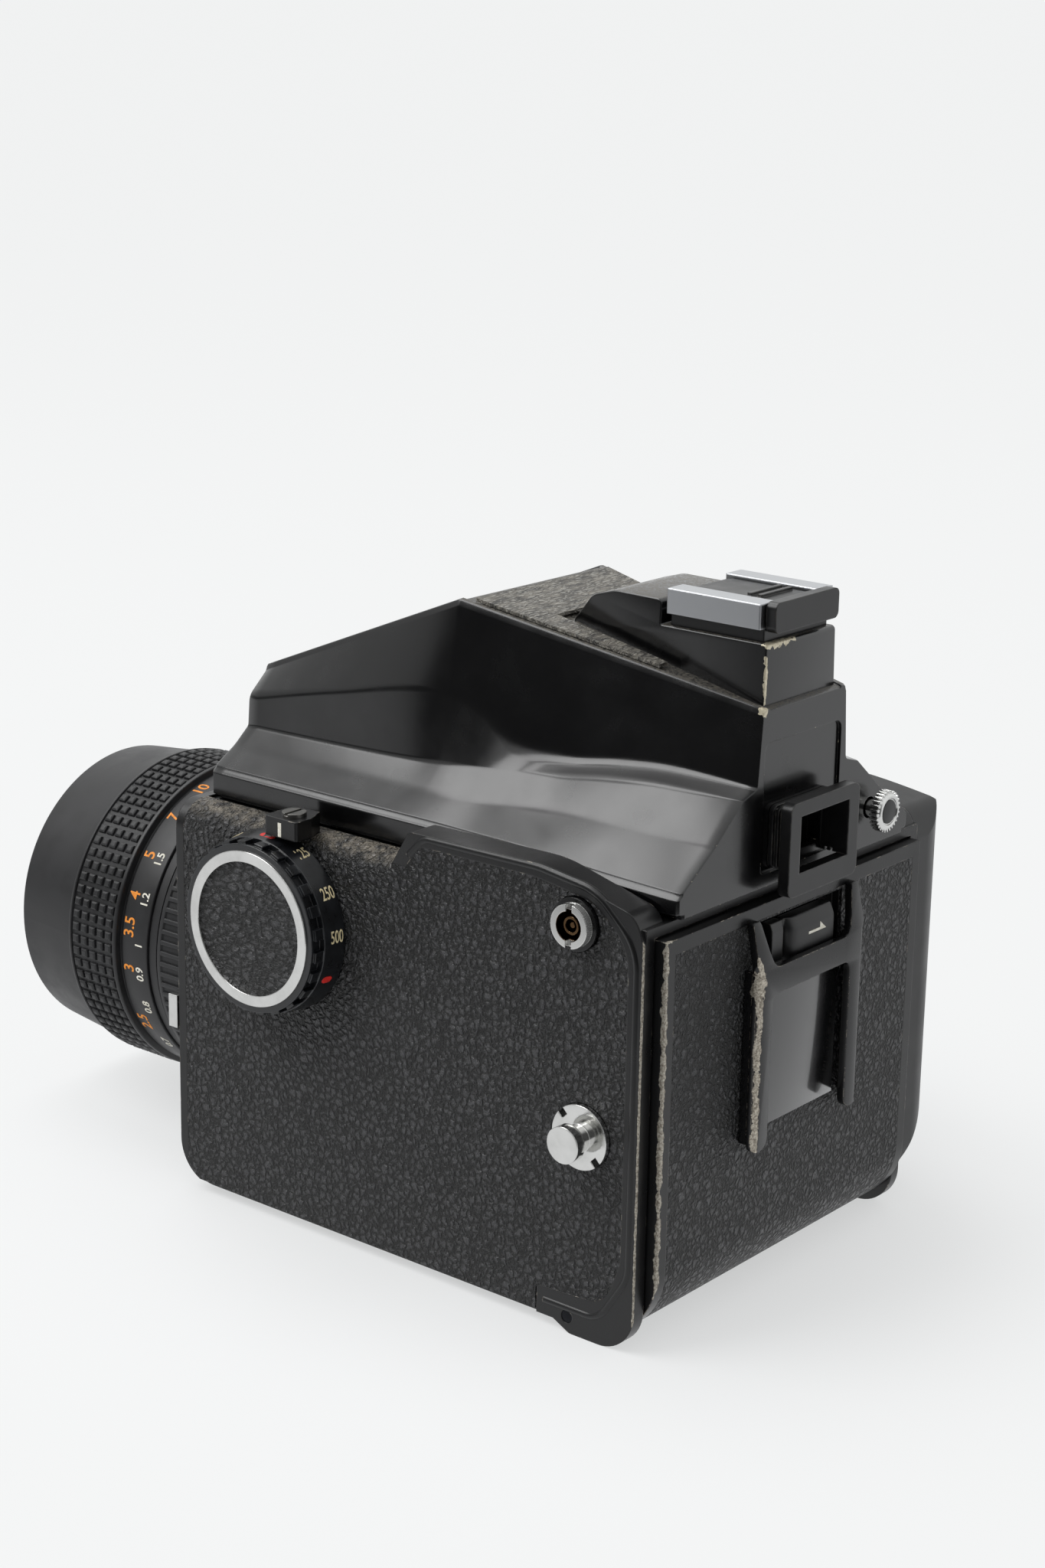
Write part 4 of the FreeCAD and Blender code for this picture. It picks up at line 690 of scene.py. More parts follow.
# Prism finder: a cast shell with a sloping nose, a bowl in each rear flank and a raised rail along the roof
finderShell = {
    # place along the camera, edge height, crease, foot of the flank, and how round the crease and foot are
    "stations": [
        (-48.4, 82.2, 25.6, 88.7, 1.2, 25.2, 94.6, 3.0),
        (-24.2, 82.2, 25.8, 89.4, 1.5, 25.3, 99.6, 4.0),
        (-6.0, 82.2, 25.8, 90.1, 2.0, 24.6, 103.0, 8.0),
        (6.0, 82.2, 25.9, 91.1, 3.0, 22.0, 101.4, 12.0),
        (14.0, 82.1, 24.2, 91.5, 4.0, 20.2, 95.6, 8.0),
        (24.0, 82.0, 22.2, 92.3, 5.0, 17.8, 93.9, 4.0),
        (33.0, 81.6, 21.0, 93.5, 5.0, 16.4, 94.7, 3.0),
        (42.0, 81.1, 20.4, 94.2, 4.0, 15.2, 95.3, 2.5),
        (51.0, 80.8, 19.4, 94.1, 3.0, 14.4, 95.1, 2.0),
        (60.0, 80.6, 17.6, 93.6, 1.0, 13.6, 94.8, 1.0),
    ],
    "half": 35.1, "low": 76.6, "flangeLow": 77.5, "peak": (-0.1, 20.7, 119.7), "nose": (20.3, 99.7),
    "tail": (12.2, 108.5), "rail": 1.1, "sink": 0.4, "step": 2.4, "front": -48.4, "rear": 60.0,
    # the panel sunk in the rear face, the eyepiece's window, and the well over the mirror box
    "panel": [(-11.6, 79.2, 0.8), (11.6, 79.2, 0.8), (11.6, 102.3, 1.6), (-11.6, 102.3, 1.6)],
    "panelDepth": 0.55, "window": ((-7.4, 30, 81), (7.4, 70, 89.7)),
    "well": ((-27, -40, 70), (27, 36, 80.1)), "buttonHole": 2.0,
}


def between(table, place):
    # smooth curve through the rows of a table, read at one place
    for i in range(len(table) - 1):
        if place <= table[i + 1][0]:
            break
    p0, p1, p2, p3 = [table[min(max(k, 0), len(table) - 1)] for k in (i - 1, i, i + 1, i + 2)]
    share = (place - p1[0]) / (p2[0] - p1[0])
    out = []
    for a, b, c, d in zip(p0[1:], p1[1:], p2[1:], p3[1:]):
        m1 = (c - a) / (p2[0] - p0[0]) * (p2[0] - p1[0])
        m2 = (d - b) / (p3[0] - p1[0]) * (p2[0] - p1[0])
        s, t = share * share, share * share * share
        out.append((2 * t - 3 * s + 1) * b + (t - 2 * s + share) * m1 + (3 * s - 2 * t) * c + (t - s) * m2)
    return out


def roofEdge(look, y):
    peakY, peakHalf, peakZ = look["peak"]
    if y < peakY:
        share = (y - look["front"]) / (peakY - look["front"])
        start, stop = look["nose"], (peakHalf, peakZ)
    else:
        share = (y - peakY) / (look["rear"] - peakY)
        start, stop = (peakHalf, peakZ), look["tail"]
    return start[0] + share * (stop[0] - start[0]), start[1] + share * (stop[1] - start[1])


def finderRing(look, y, inset=0.0):
    edge, creaseX, creaseZ, creaseR, footX, footZ, footR = between(look["stations"], y)
    roofX, roofZ = roofEdge(look, y)
    half, rail, sink = look["half"], look["rail"], look["sink"]
    skirtX, skirtZ = (half - 1.0 + creaseX) / 2 - 0.5, (edge + 0.8 + creaseZ) / 2 - 0.3
    corners = [
        (half - 1.5, look["low"]), (half - 1.5, look["flangeLow"] - 0.2), (half, look["flangeLow"], 0.4),
        (half, edge - 0.5, 0.5), (half - 0.8, edge + 0.1), (half - 1.0, edge + 0.6, 0.3),
        (skirtX, skirtZ, 14.0), (creaseX, creaseZ, creaseR), (footX, footZ, footR),
        (roofX + 0.45, roofZ - 1.2, 0.3), (roofX, roofZ - 0.1, 0.35), (roofX - rail, roofZ, 0.3),
        (roofX - rail - 0.25, roofZ - sink), (roofX * 0.5, roofZ - sink),
    ]
    ring = mirrored(arcCorners(corners, steps=5, closed=False))
    middle = (look["low"] + roofZ) / 2
    shrink = 1 - inset / 30
    return [onPlane("y", x * shrink, middle + (z - middle) * shrink, y) for x, z in ring]


def makeFinderShell(look):
    front, rear, peakY = look["front"], look["rear"], look["peak"][0]
    places = []
    y = front + 0.6
    while y < rear - 0.8:
        places.append(y)
        y += look["step"]
    places += [peakY, peakY - 0.5, peakY + 0.5, rear - 0.45]
    places = sorted(set(round(p, 3) for p in places))
    rings = [finderRing(look, front, 0.55)]
    rings += [finderRing(look, place) for place in places]
    rings.append(finderRing(look, rear, 0.35))
    shell = loft("finderShell", rings)
    cutAway(shell, prism("panelTool", arcCorners(look["panel"]), "y", rear - look["panelDepth"], rear + 5))
    cutAway(shell, block("windowTool", *look["window"]))
    cutAway(shell, block("wellTool", *look["well"]))
    button, bore = middleOf("finder_release"), look["buttonHole"]
    cutAway(shell, lathe("holeTool", [(50, bore), (70, bore)], button.x, button.z, sides=32))
    finishPiece(shell, "finder", "finderLacquer", smooth=38, stands=["finder_housing"])


finderHump = {
    "half": 11.15, "foot": 98.0, "front": 15.9, "rear": 58.6, "step": 36.4, "top": 123.4, "seat": 119.0,
    "round": 2.6, "bow": 7.5, "bowShare": 0.22, "leanFrom": 106.0, "lean": 0.06,
    "brow": [(116.4, 1.0), (21.3, 122.0, 4.0), (26.4, 123.5, 6.0)],
}


def makeFinderHump(look):
    front, rear, step, foot = look["front"], look["rear"], look["step"], look["foot"]
    side = [(front, foot), (front, *look["brow"][0]), *look["brow"][1:], (step, look["top"], 1.0),
            (step, look["seat"], 0.3), (rear, look["seat"], 0.8), (rear, foot)]
    hump = prism("finderHump", arcCorners(side), "x", -look["half"], look["half"])
    net = editNet(hump)
    for vert in net.verts:
        # the front end narrows like a bow and the walls lean in a little
        y, z = vert.co.y / mm, vert.co.z / mm
        bow = max(0.0, 1 - (y - front) / look["bow"])
        lean = max(0.0, (z - look["leanFrom"])) * look["lean"]
        shrink = 1 - look["bowShare"] * bow * bow
        vert.co.x = math.copysign((look["half"] - lean) * shrink, vert.co.x) * mm
    bmesh.update_edit_mesh(hump.data)
    deselectAll()
    roundEdges(hump, look["round"], 6, angle=40)
    finishPiece(hump, "finder", "finderLacquer", smooth=40)


makeFinderShell(finderShell)
makeFinderHump(finderHump)
print("finder modelled")


# Finder release button: knurled chrome with a black centre
finderButton = {"count": 28, "stem": 1.6, "grip": 2.2, "rim": 0.35, "cap": 2.4, "tooth": 0.16}


def makeFinderButton(look):
    low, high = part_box("finder_release")
    centre = middleOf("finder_release")
    x, z = centre.x, centre.z
    face, radius = high.y / mm, (high.z - low.z) / 2 / mm
    stem, back, rim, cap = look["stem"], face - look["grip"], look["rim"], look["cap"]
    head = lathe("finderButton", arcCorners([
        (low.y / mm, stem), (back, stem), (back, radius - 1.3), (back + 0.3, radius - rim, 0.2),
        (face - 0.5, radius - rim, 0.3), (face, radius - 0.9, 0.3), (face, cap + 0.1, 0.1), (face - rim, cap),
        (face - rim, 0.0)], closed=False), x, z, sides=56)
    tooth = block("buttonTooth", (x + radius - 0.6, back + 0.2, z - look["tooth"]),
                  (x + radius - 0.02, face - rim, z + look["tooth"]))
    copyAround(tooth, look["count"], x, z)
    head = joinPieces(head, tooth)
    finishPiece(head, "finder_button", "brightChrome", stands=["finder_release"])
    profile = [(face - 0.5, leastRadius), (face - 0.5, cap - 0.2), (face - 0.12, cap - 0.2, 0.2),
               (face - 0.05, 0.0)]
    inlay = lathe("finderButtonCap", arcCorners(profile, closed=False), x, z, sides=40)
    finishPiece(inlay, "finder_button", "satinPlastic")


makeFinderButton(finderButton)


# Lens: a ring with a waffle grip and a distance scale, and a ribbed aperture ring
focusRing = {
    "rear": -71.0, "scaleFront": -78.8, "front": -92.8, "bore": 27.6, "scaleRadius": 31.3, "grooveRadius": 30.8,
    "lipRadius": 32.35, "gripRadius": 31.75, "rimRadius": 32.1, "rows": 5, "around": 78, "rise": 0.62,
    "sink": 0.1, "padShare": 0.36, "padLength": 0.40, "rimWide": 1.0,
}


def makeFocusRing(look):
    lensZ = middleOf("focus_ring").z
    rear, mid, front, bore = look["rear"], look["scaleFront"], look["front"], look["bore"]
    scale, groove, lip, grip = look["scaleRadius"], look["grooveRadius"], look["lipRadius"], look["gripRadius"]
    ring = lathe("focusRing", arcCorners([
        (rear, bore), (rear, scale, 0.25), (mid + 0.9, scale, 0.2), (mid + 0.5, groove, 0.1),
        (mid - 0.1, groove, 0.1), (mid - 0.2, lip - 0.1, 0.3), (mid - 1.1, lip, 0.2), (mid - 1.2, grip),
        (front + 0.9, grip), (front + 0.8, look["rimRadius"] + 0.2, 0.2), (front, look["rimRadius"], 0.3),
        (front, bore)], steps=3), 0, lensZ, sides=128, closedLoop=True)
    finishPiece(ring, "focus", "lensAnodised", stands=["focus_ring"])
    # one row of pads is modelled along the lens and then copied round it
    pitch = ((mid - 1.3) - (front + look["rimWide"])) / look["rows"]
    base, top = grip - look["sink"], grip + look["rise"]
    across = 2 * math.pi * grip / look["around"] * look["padShare"]
    pads = []
    for i in range(look["rows"]):
        y = front + look["rimWide"] + pitch * (i + 0.5)
        levels = [(base, 1.0), (top - 0.2, 0.86), (top, 0.5)]
        rings = [[Vector((r, y + sy * pitch * look["padLength"] * s, lensZ + sz * across * s)) * mm
                  for sy, sz in ((-1, -1), (1, -1), (1, 1), (-1, 1))] for r, s in levels]
        pads.append(loft("gripPads", rings, capStart=False))
    row = joinPieces(pads[0], *pads[1:])
    copyAround(row, look["around"], 0, lensZ)
    finishPiece(row, "focus", "lensAnodised", smooth=25)
    return lensZ


apertureRing = {"count": 90, "rise": 0.55, "cover": 0.5, "bore": 25.2, "chamfer": 29.5, "lip": 1.3}


def makeApertureRing(look, lensZ):
    low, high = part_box("aperture_ring")
    front, rear, radius = low.y / mm, high.y / mm, (high.z - low.z) / 2 / mm
    base, lip, bore = radius - look["rise"], look["lip"], look["bore"]
    ring = lathe("apertureRing", arcCorners([
        (rear, bore), (rear, base, 0.2), (front + lip + 0.3, base, 0.1), (front + lip, radius - 0.2, 0.2),
        (front + 0.2, radius - 0.3, 0.3), (front, look["chamfer"], 0.2), (front, bore)], steps=3),
        0, lensZ, sides=120, closedLoop=True)
    finishPiece(ring, "aperture", "lensAnodised", stands=["aperture_ring"])
    wide = 2 * math.pi * base / look["count"] * look["cover"] / 2
    ends = (front + lip + 0.2, rear - 0.4)
    levels = [(0, wide), (look["rise"], wide * 0.8), (look["rise"] + 0.09, wide * 0.5)]
    rings = [[Vector((base - 0.1 + r, y, lensZ + s * w)) * mm for s in (-1, 1) for y in ends[::-s]]
             for r, w in levels]
    rib = loft("apertureRibs", rings, capStart=False)
    copyAround(rib, look["count"], 0, lensZ)
    finishPiece(rib, "aperture", "lensAnodised", smooth=25)


def wrapOnLens(piece, radius, angle, y, lensZ):
    # reads upwards round the lens with the tops of the figures to the front
    def place(spot):
        turn = math.radians(angle) + spot.x / (radius * mm)
        reach = radius * mm + spot.z
        return Vector((reach * math.cos(turn), y * mm - spot.y, lensZ * mm + reach * math.sin(turn)))
    mapPoints(piece, place)


def makeFigures(name, figures, height, narrow, heavy, wrap, rider, paint):
    # one text per figure, each wrapped where it belongs, all joined to one piece
    pieces = []
    for figure, angle in figures:
        piece = textMesh(name, figure, height, narrow=narrow, heavy=heavy)
        wrap(piece, angle)
        pieces.append(piece)
    finishPiece(joinPieces(pieces[0], *pieces[1:]), rider, paint, smooth=20)


distanceScale = {
    "radius": 31.31, "narrow": 0.9, "heavy": 0.05,
    "feetScale": {
        "y": -76.1, "height": 2.7, "paint": "orangePaint",
        "figures": [("10", 70.0), ("7", 54.0), ("5", 37.3), ("4", 21.8), ("3.5", 10.0), ("3", -5.5),
                    ("2.5", -29.5), ("15", 82.0), ("30", 95.0)]},
    "metresScale": {
        "y": -73.2, "height": 1.9, "paint": "whitePaint",
        "figures": [("3", 68.0), ("2", 53.0), ("1.5", 36.5), ("1.2", 21.0), ("1", 4.0), ("0.9", -7.0),
                    ("0.8", -21.0), ("0.7", -40.0), ("5", 83.0), ("10", 96.0)]},
}


def makeDistanceScale(look, lensZ):
    for name in ("feetScale", "metresScale"):
        scale = look[name]
        makeFigures(name, scale["figures"], scale["height"], look["narrow"], look["heavy"],
                    lambda piece, angle: wrapOnLens(piece, look["radius"], angle, scale["y"], lensZ),
                    "focus", scale["paint"])


lensZ = makeFocusRing(focusRing)
makeApertureRing(apertureRing, lensZ)
makeDistanceScale(distanceScale, lensZ)
print("lens modelled")


# Shutter dial: cream figures on the skirt, red marks, rubbed teeth
dialMarks = {
    "skirtX": 44.15, "redX": 45.0, "radiusLow": 17.0, "radiusHigh": 16.4, "coneLow": 42.4, "coneHigh": 46.7,
    "height": 2.35, "narrow": 0.56, "heavy": 0.03, "lift": 0.02,
    "speeds": [("125", 60.6), ("250", 30.4), ("500", 2.9), ("60", 118.0), ("30", 146.0), ("15", 174.0),
               ("8", 202.0), ("4", 230.0), ("2", 258.0), ("1", 286.0)],
    # angle, height and width of the capsule and of the mark under the index
    "reds": [(-26.0, 1.5, 2.2), (88.0, 3.4, 1.4)], "redRound": 0.7,
}


def skirtRadius(x, look):
    share = (x - look["coneLow"]) / (look["coneHigh"] - look["coneLow"])
    return look["radiusLow"] + share * (look["radiusHigh"] - look["radiusLow"])


def wrapOnDial(piece, angle, x, look, centre):
    # reads from the dial's face towards the body
    def place(spot):
        along = x - spot.x / mm
        reach = skirtRadius(along, look) + look["lift"] + spot.z / mm
        turn = math.radians(angle) + spot.y / mm / reach
        return onPlane("x", centre.y + reach * math.cos(turn), centre.z + reach * math.sin(turn), along)
    mapPoints(piece, place)


def makeDialMarks(look):
    centre = middleOf("dial_ring")
    makeFigures("speedFigures", look["speeds"], look["height"], look["narrow"], look["heavy"],
                lambda piece, angle: wrapOnDial(piece, angle, look["skirtX"], look, centre),
                "dial", "creamPaint")
    reds = []
    for angle, tall, wide in look["reds"]:
        corners = [(-1, -1), (1, -1), (1, 1), (-1, 1)]
        shape = arcCorners([(a * wide / 2, b * tall / 2, look["redRound"]) for a, b in corners], steps=5)
        mark = prism("redMarks", shape, "z", -0.03, 0.05)
        wrapOnDial(mark, angle, look["redX"], look, centre)
        reds.append(mark)
    finishPiece(joinPieces(*reds), "dial", "redPaint", smooth=20)


makeDialMarks(dialMarks)


# The index block's white line
indexLine = {"y": -20.1, "wide": 0.8, "low": 77.2, "high": 79.8, "sink": 0.1, "rise": 0.06}


def makeIndexLine(look):
    x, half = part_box("index_block")[1].x / mm, look["wide"] / 2
    line = block("indexLine", (x - look["sink"], look["y"] - half, look["low"]),
                 (x + look["rise"], look["y"] + half, look["high"]))
    finishPiece(line, "camera", "whitePaint")


makeIndexLine(indexLine)
print("dial modelled")


# The bead on the left rim, along the edge of the leathercloth
rimBead = {
    "width": 1.5, "sink": 0.42,
    "path": [(39.0, 4.6), (51.0, 4.6, 5), (57.0, 14.0, 8), (57.0, 73.2, 9.5), (48.4, 81.0, 10),
             (36.0, 82.6, 22), (10.4, 82.2, 3), (7.0, 78.6)],
}


def makeRimBead(look):
    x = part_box("left_leatherette")[1].x / mm - look["sink"]
    path = arcCorners(look["path"], steps=10, closed=False)
    bead = tubeAlong("rimBead", [onPlane("x", y, z, x) for y, z in path], look["width"], sides=4)
    finishPiece(bead, "camera", "bodyEnamel", smooth=60)


makeRimBead(rimBead)


# Memo holder: two arms with rounded feet, joined by a bar, and prongs that lean back to the door
memoHolder = {
    "half": 16.4, "arm": 4.4, "face": 64.0, "door": 60.8, "thick": 1.5, "foot": 30.4, "barLow": 58.6,
    "barHigh": 63.4, "top": 72.2, "prong": 2.3, "lean": 0.22, "leanGap": 0.6, "wall": 1.1, "slope": 1.25,
    "round": 0.2, "plateLow": 33.0, "plateThick": 0.45, "plateRound": 0.12, "wallRound": 0.25,
}


def makeMemoHolder(look):
    half, inner, prong = look["half"], look["half"] - look["arm"], look["half"] - look["prong"]
    low, high, top, face = look["barLow"], look["barHigh"], look["top"], look["face"]
    lean = high + look["leanGap"]
    side = [(half, look["foot"], 1.6), (half, high), (half - 0.2, top, 0.9), (prong, top, 0.9),
            (inner + 0.6, high + 3.2, 2.0), (inner - 0.6, high, 2.6)]
    inside = [(-inner, look["foot"], 3.4), (-inner, low, 1.7)]
    outline = arcCorners(mirrored(side) + mirrored(inside), steps=5)
    plate = prism("memoHolder", outline, "y", face - look["thick"], face)
    editNet(plate)
    for level in (lean, low - 0.4):
        bpy.ops.mesh.select_all(action="SELECT")
        bpy.ops.mesh.bisect(plane_co=(0, 0, level * mm), plane_no=(0, 0, 1))
    deselectAll()

    def leanBack(spot):
        above = max(0.0, spot.z / mm - lean)
        return Vector((spot.x, spot.y - above * look["lean"] * mm, spot.z))
    mapPoints(plate, leanBack)
    editNet(plate)
    # the outer edges of the arms slope back to their walls
    edgeX, edgeY = (half - 0.4) * mm, (face - 0.1) * mm
    selectEdges(plate, lambda e: all(abs(v.co.x) > edgeX and v.co.y > edgeY for v in e.verts))
    bpy.ops.mesh.bevel(offset=look["slope"] * mm, segments=3, affect="EDGES")
    roundEdges(plate, look["round"], 2, angle=40)
    parts = [plate]
    for sign in (-1, 1):
        ends = sorted((sign * (half - 0.05), sign * (half - look["wall"])))
        wall = block("memoHolder", (ends[0], look["door"], look["foot"] + 1.4), (ends[1], face - 0.6, high))
        roundEdges(wall, look["wallRound"], 2)
        parts.append(wall)
    finishPiece(joinPieces(*parts), "door", "holderEnamel", smooth=40, stands=["memo_holder"])
    reach, door = inner + 0.2, look["door"]
    back = block("memoPlate", (-reach, door, look["plateLow"]), (reach, door + look["plateThick"], low + 1.0))
    roundEdges(back, look["plateRound"], 2)
    finishPiece(back, "door", "plateGloss")


makeMemoHolder(memoHolder)


# Door latch: a domed slide with a scooped end and a step, and a white arrow for the way it slides
doorLatch = {
    "low": 61.3, "high": 69.9, "rear": 59.1, "face": 62.2, "right": -9.1, "scoop": 2.4, "left": 4.6,
    "shallow": 0.12, "deep": 1.5, "cuts": 6, "step": (5.6, 8.9), "stepFace": 61.2,
    # depth and radius of the shoulder, then height and radius of the crown
    "slideCrown": (0.9, 0.5, 2.0, 3.0), "stepCrown": (0.5, 0.3, 1.6, 2.0),
}


def latchProfile(look, face, crown, inset=0.0, steps=5):
    low, high = look["low"] + inset, look["high"] - inset
    deep, shoulder, tall, dome = crown
    return arcCorners([(look["rear"], low), (face - deep, low, shoulder), (face, low + tall, dome),
                       (face, high - tall, dome), (face - deep, high, shoulder), (look["rear"], high)],
                      steps)


def makeDoorLatch(look):
    right, scoop, shallow, cuts = look["right"], look["scoop"], look["shallow"], look["cuts"]
    # place along the slide, how far the face is sunk there, and how far the edges are drawn in
    cross = [(right, 0.4, 0.3), (right + 0.4, 0.0, 0.0), (scoop - 0.6, 0.0, 0.0), (scoop, shallow, 0.0)]
    for i in range(1, cuts + 1):
        share = i / cuts
        cross.append((scoop + share * (look["left"] - scoop), shallow + look["deep"] * share * share, 0.0))
    rings = []
    for x, drop, inset in cross:
        outline = latchProfile(look, look["face"] - drop, look["slideCrown"], inset)
        rings.append([onPlane("x", y, z, x) for y, z in outline])
    slide = loft("doorLatch", rings)
    outline = latchProfile(look, look["stepFace"], look["stepCrown"], steps=4)
    step = prism("doorLatch", outline, "x", *look["step"])
    link = block("doorLatch", (look["left"] - 0.5, look["rear"], look["low"] + 0.3),
                 (look["step"][0] + 0.3, look["rear"] + 1.2, look["high"] - 0.3))
    roundEdges(link, 0.1, 2)
    finishPiece(joinPieces(slide, step, link), "latch", "satinPlastic", smooth=40,
                stands=["door_latch"])


latchArrow = {"x": -3.6, "z": 66.2, "long": 5.4, "thin": 0.5, "barb": 1.9, "rise": 1.05}


def makeLatchArrow(look, y):
    x, z, half, thin = look["x"], look["z"], look["long"] / 2, look["thin"]
    shape = [(x + half, z - thin / 2), (x + half, z + thin / 2), (x - half + look["barb"], z + thin / 2),
             (x - half + look["barb"], z + thin / 2 + look["rise"]), (x - half, z - thin / 2)]
    arrow = prism("latchArrow", shape, "y", y - 0.12, y + 0.04)
    finishPiece(arrow, "latch", "whitePaint")


makeDoorLatch(doorLatch)
makeLatchArrow(latchArrow, doorLatch["face"])
print("back modelled")


# Camera, floor and light
photoView = {
    "place": (396.68, 320.82, 227.00), "yaw": 50.8686, "pitch": 15.9444, "roll": 1.00534, "lens": 65.62,
    "sensor": 36, "near": 0.01, "far": 100,
}


def makeCamera(look):
    yaw, pitch, roll = [math.radians(look[k]) for k in ("yaw", "pitch", "roll")]
    back = Vector((math.sin(yaw) * math.cos(pitch), math.cos(yaw) * math.cos(pitch), math.sin(pitch)))
    right = Vector((0, 0, 1)).cross(back).normalized()
    up = back.cross(right)
    tiltRight = math.cos(roll) * right + math.sin(roll) * up
    tiltUp = -math.sin(roll) * right + math.cos(roll) * up
    camera = bpy.data.objects.new("photoCamera", bpy.data.cameras.new("photoCamera"))
    bpy.context.scene.collection.objects.link(camera)
    turn = Matrix((tiltRight, tiltUp, back)).transposed().to_4x4()
    camera.matrix_world = Matrix.Translation(Vector(look["place"]) * mm) @ turn
    camera.data.lens = look["lens"]
    camera.data.sensor_width = look["sensor"]
    camera.data.clip_start = look["near"]
    camera.data.clip_end = look["far"]
    bpy.context.scene.camera = camera


# A white sweep under a bright ceiling, with a dim room beyond the sweep on the dial's side
studio = {
    "floorColour": "#eeeff0", "floorRadius": 60.0, "background": "#f4f5f5", "sky": 0.70,
    "room": (0.994, -0.105, 0), "dark": (0.906, 0.423, 0), "dim": 0.08,
    # ranges: where a tone starts and ends, and for some the two tones themselves
    "shownPaper": {1: 0.05, 2: 0.15, 3: 0.6, 4: 0.92}, "sweep": {1: 0.45, 2: 1.3, 3: 0.9, 4: 0.08},
    "floorDark": {1: 0.5, 2: 0.72}, "nearPaper": {1: 0.2, 2: 0.27}, "wall": {1: 0.06, 2: 0.16, 3: 0.08, 4: 0.6},
    "roomDark": {1: 0.42, 2: 0.6}, "ceiling": {1: 0.48, 2: 0.72}, "roomSide": {1: -0.3, 2: 0.4},
    "lamps": [("sideSoftbox", (0.52, -0.44, 0.86), (0, 0.0, 0.06), 0.75, 5.6),
              ("topSoftbox", (-0.15, -0.45, 1.05), (0, 0.0, 0.08), 0.6, 3.0)],
}


def seenByEye(tree):
    # camera, glossy and transmission rays
    seen = addNode(tree, "LightPath", out="Is Camera Ray")
    for kind in ("Is Glossy Ray", "Is Transmission Ray"):
        seen = addNode(tree, "Math", {0: seen, 1: addNode(tree, "LightPath", out=kind)}, operation="MAXIMUM")
    return seen


def makeFloor(look):
    deselectAll()
    bpy.ops.mesh.primitive_circle_add(vertices=96, radius=look["floorRadius"], fill_type="NGON")
    floor = bpy.context.object
    floor.name = "studioFloor"
    material, tree, shader = newMaterial("paperSweep", {"colour": look["floorColour"], "roughness": 0.9})
    shader.inputs["Specular IOR Level"].default_value = 0.1
    # mirrors and gloss see the lit paper near the camera and a dim room past its edge
    place = addNode(tree, "TexCoord", out="Object")
    away = addNode(tree, "VectorMath", {0: place}, out="Value", operation="LENGTH")
    along = addNode(tree, "SeparateXYZ", {0: place}, out="X")
    paper = addNode(tree, "MapRange", {0: along, **look["sweep"]}, **smooth)
    bearing = addNode(tree, "VectorMath", {0: place}, operation="NORMALIZE")
    shade = addNode(tree, "VectorMath", {0: bearing, 1: look["dark"]}, out="Value", operation="DOT_PRODUCT")
    shade = addNode(tree, "MapRange", {0: shade, **look["floorDark"]}, **smooth)
    beyond = addNode(tree, "MapRange", {0: away, **look["nearPaper"]}, **smooth)
    shade = addNode(tree, "Math", {0: shade, 1: beyond}, operation="MULTIPLY")
    paper = addNode(tree, "Mix", {0: shade, 2: paper, 3: look["dim"]}, data_type="FLOAT")
    glow = addNode(tree, "Emission", {"Color": look["floorColour"], "Strength": paper}, out=0)
    # the camera sees the white of the backdrop, and part of the lit floor with its shadow
    shown = addNode(tree, "MapRange", {0: away, **look["shownPaper"]}, **smooth)
    camera = addNode(tree, "LightPath", out="Is Camera Ray")
    shown = addNode(tree, "Math", {0: shown, 1: camera}, operation="MULTIPLY")
    white = addNode(tree, "Emission", {"Color": look["background"]}, out=0)
    mix = addNode(tree, "MixShader", {0: shown, 1: shader.outputs[0], 2: white})
    glossy = addNode(tree, "LightPath", out="Is Glossy Ray")
    mix = addNode(tree, "MixShader", {0: glossy, 1: mix, 2: glow})
    tree.links.new(mix, tree.nodes["Material Output"].inputs["Surface"])
    floor.data.materials.append(material)


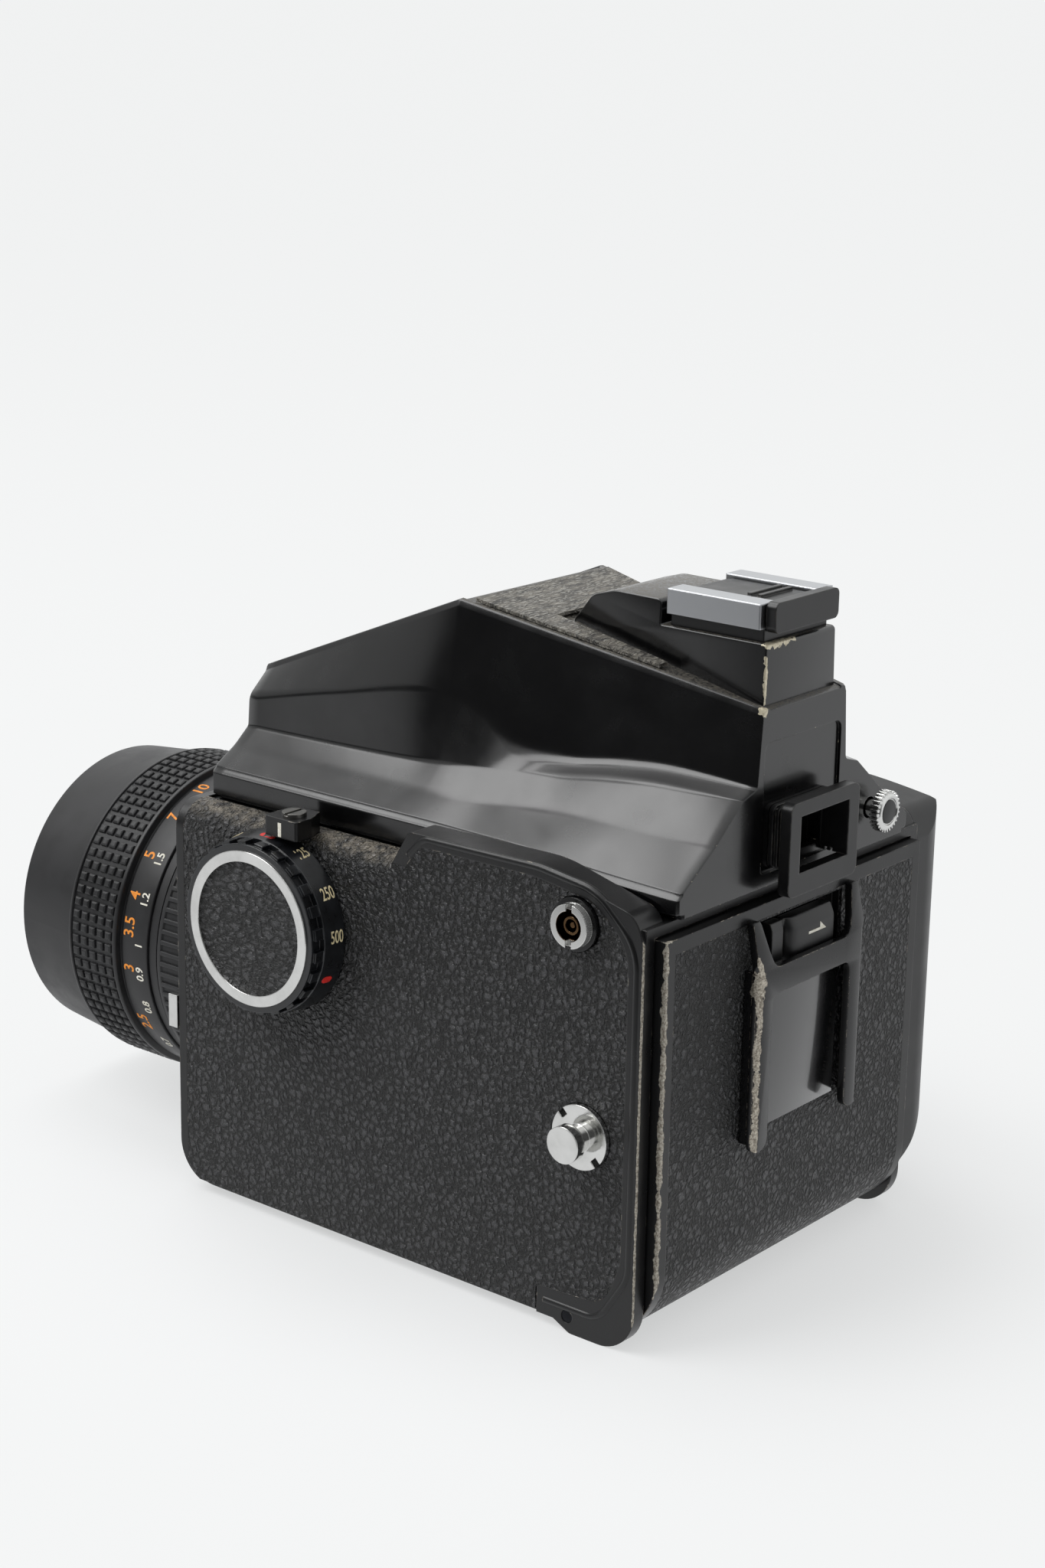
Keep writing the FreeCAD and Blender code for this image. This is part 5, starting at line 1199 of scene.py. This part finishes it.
def makeWorld(look):
    world = bpy.data.worlds.new("studioWorld")
    bpy.context.scene.world = world
    world.use_nodes = True
    tree = world.node_tree
    # in a world, Generated is the direction that a ray runs in
    ray = addNode(tree, "TexCoord", out="Generated")
    height = addNode(tree, "SeparateXYZ", {0: ray}, out="Z")
    wall = addNode(tree, "MapRange", {0: height, **look["wall"]}, **smooth)
    # the side that the photographer stands on is darker still, up to the ceiling
    shade = addNode(tree, "VectorMath", {0: ray, 1: look["dark"]}, out="Value", operation="DOT_PRODUCT")
    shade = addNode(tree, "MapRange", {0: shade, **look["roomDark"]}, **smooth)
    wall = addNode(tree, "Mix", {0: shade, 2: wall, 3: look["dim"]}, data_type="FLOAT")
    rise = addNode(tree, "MapRange", {0: height, **look["ceiling"]}, **smooth)
    room = addNode(tree, "Mix", {0: rise, 2: wall, 3: 1.0}, data_type="FLOAT")
    side = addNode(tree, "VectorMath", {0: ray, 1: look["room"]}, out="Value", operation="DOT_PRODUCT")
    side = addNode(tree, "MapRange", {0: side, **look["roomSide"]}, **smooth)
    gloss = addNode(tree, "Mix", {0: side, 2: 1.0, 3: room}, data_type="FLOAT")
    strength = addNode(tree, "Mix", {0: seenByEye(tree), 2: look["sky"], 3: gloss}, data_type="FLOAT")
    camera = addNode(tree, "LightPath", out="Is Camera Ray")
    strength = addNode(tree, "Mix", {0: camera, 2: strength, 3: 1.0}, data_type="FLOAT")
    background = tree.nodes["Background"]
    tree.links.new(strength, background.inputs["Strength"])
    background.inputs["Color"].default_value = hexColour(look["background"])


def aimLight(name, kind, place, aim):
    lamp = bpy.data.lights.new(name, kind)
    light = bpy.data.objects.new(name, lamp)
    bpy.context.scene.collection.objects.link(light)
    light.location = place
    light.rotation_euler = (Vector(aim) - Vector(place)).to_track_quat("-Z", "Y").to_euler()
    return lamp


def makeLights(look):
    for name, place, aim, size, watts in look["lamps"]:
        lamp = aimLight(name, "AREA", place, aim)
        lamp.shape = "DISK"
        lamp.size = size
        lamp.energy = watts
    bpy.context.scene.view_settings.view_transform = "Standard"


makeCamera(photoView)
makeFloor(studio)
makeWorld(studio)
makeLights(studio)
print("studio set")
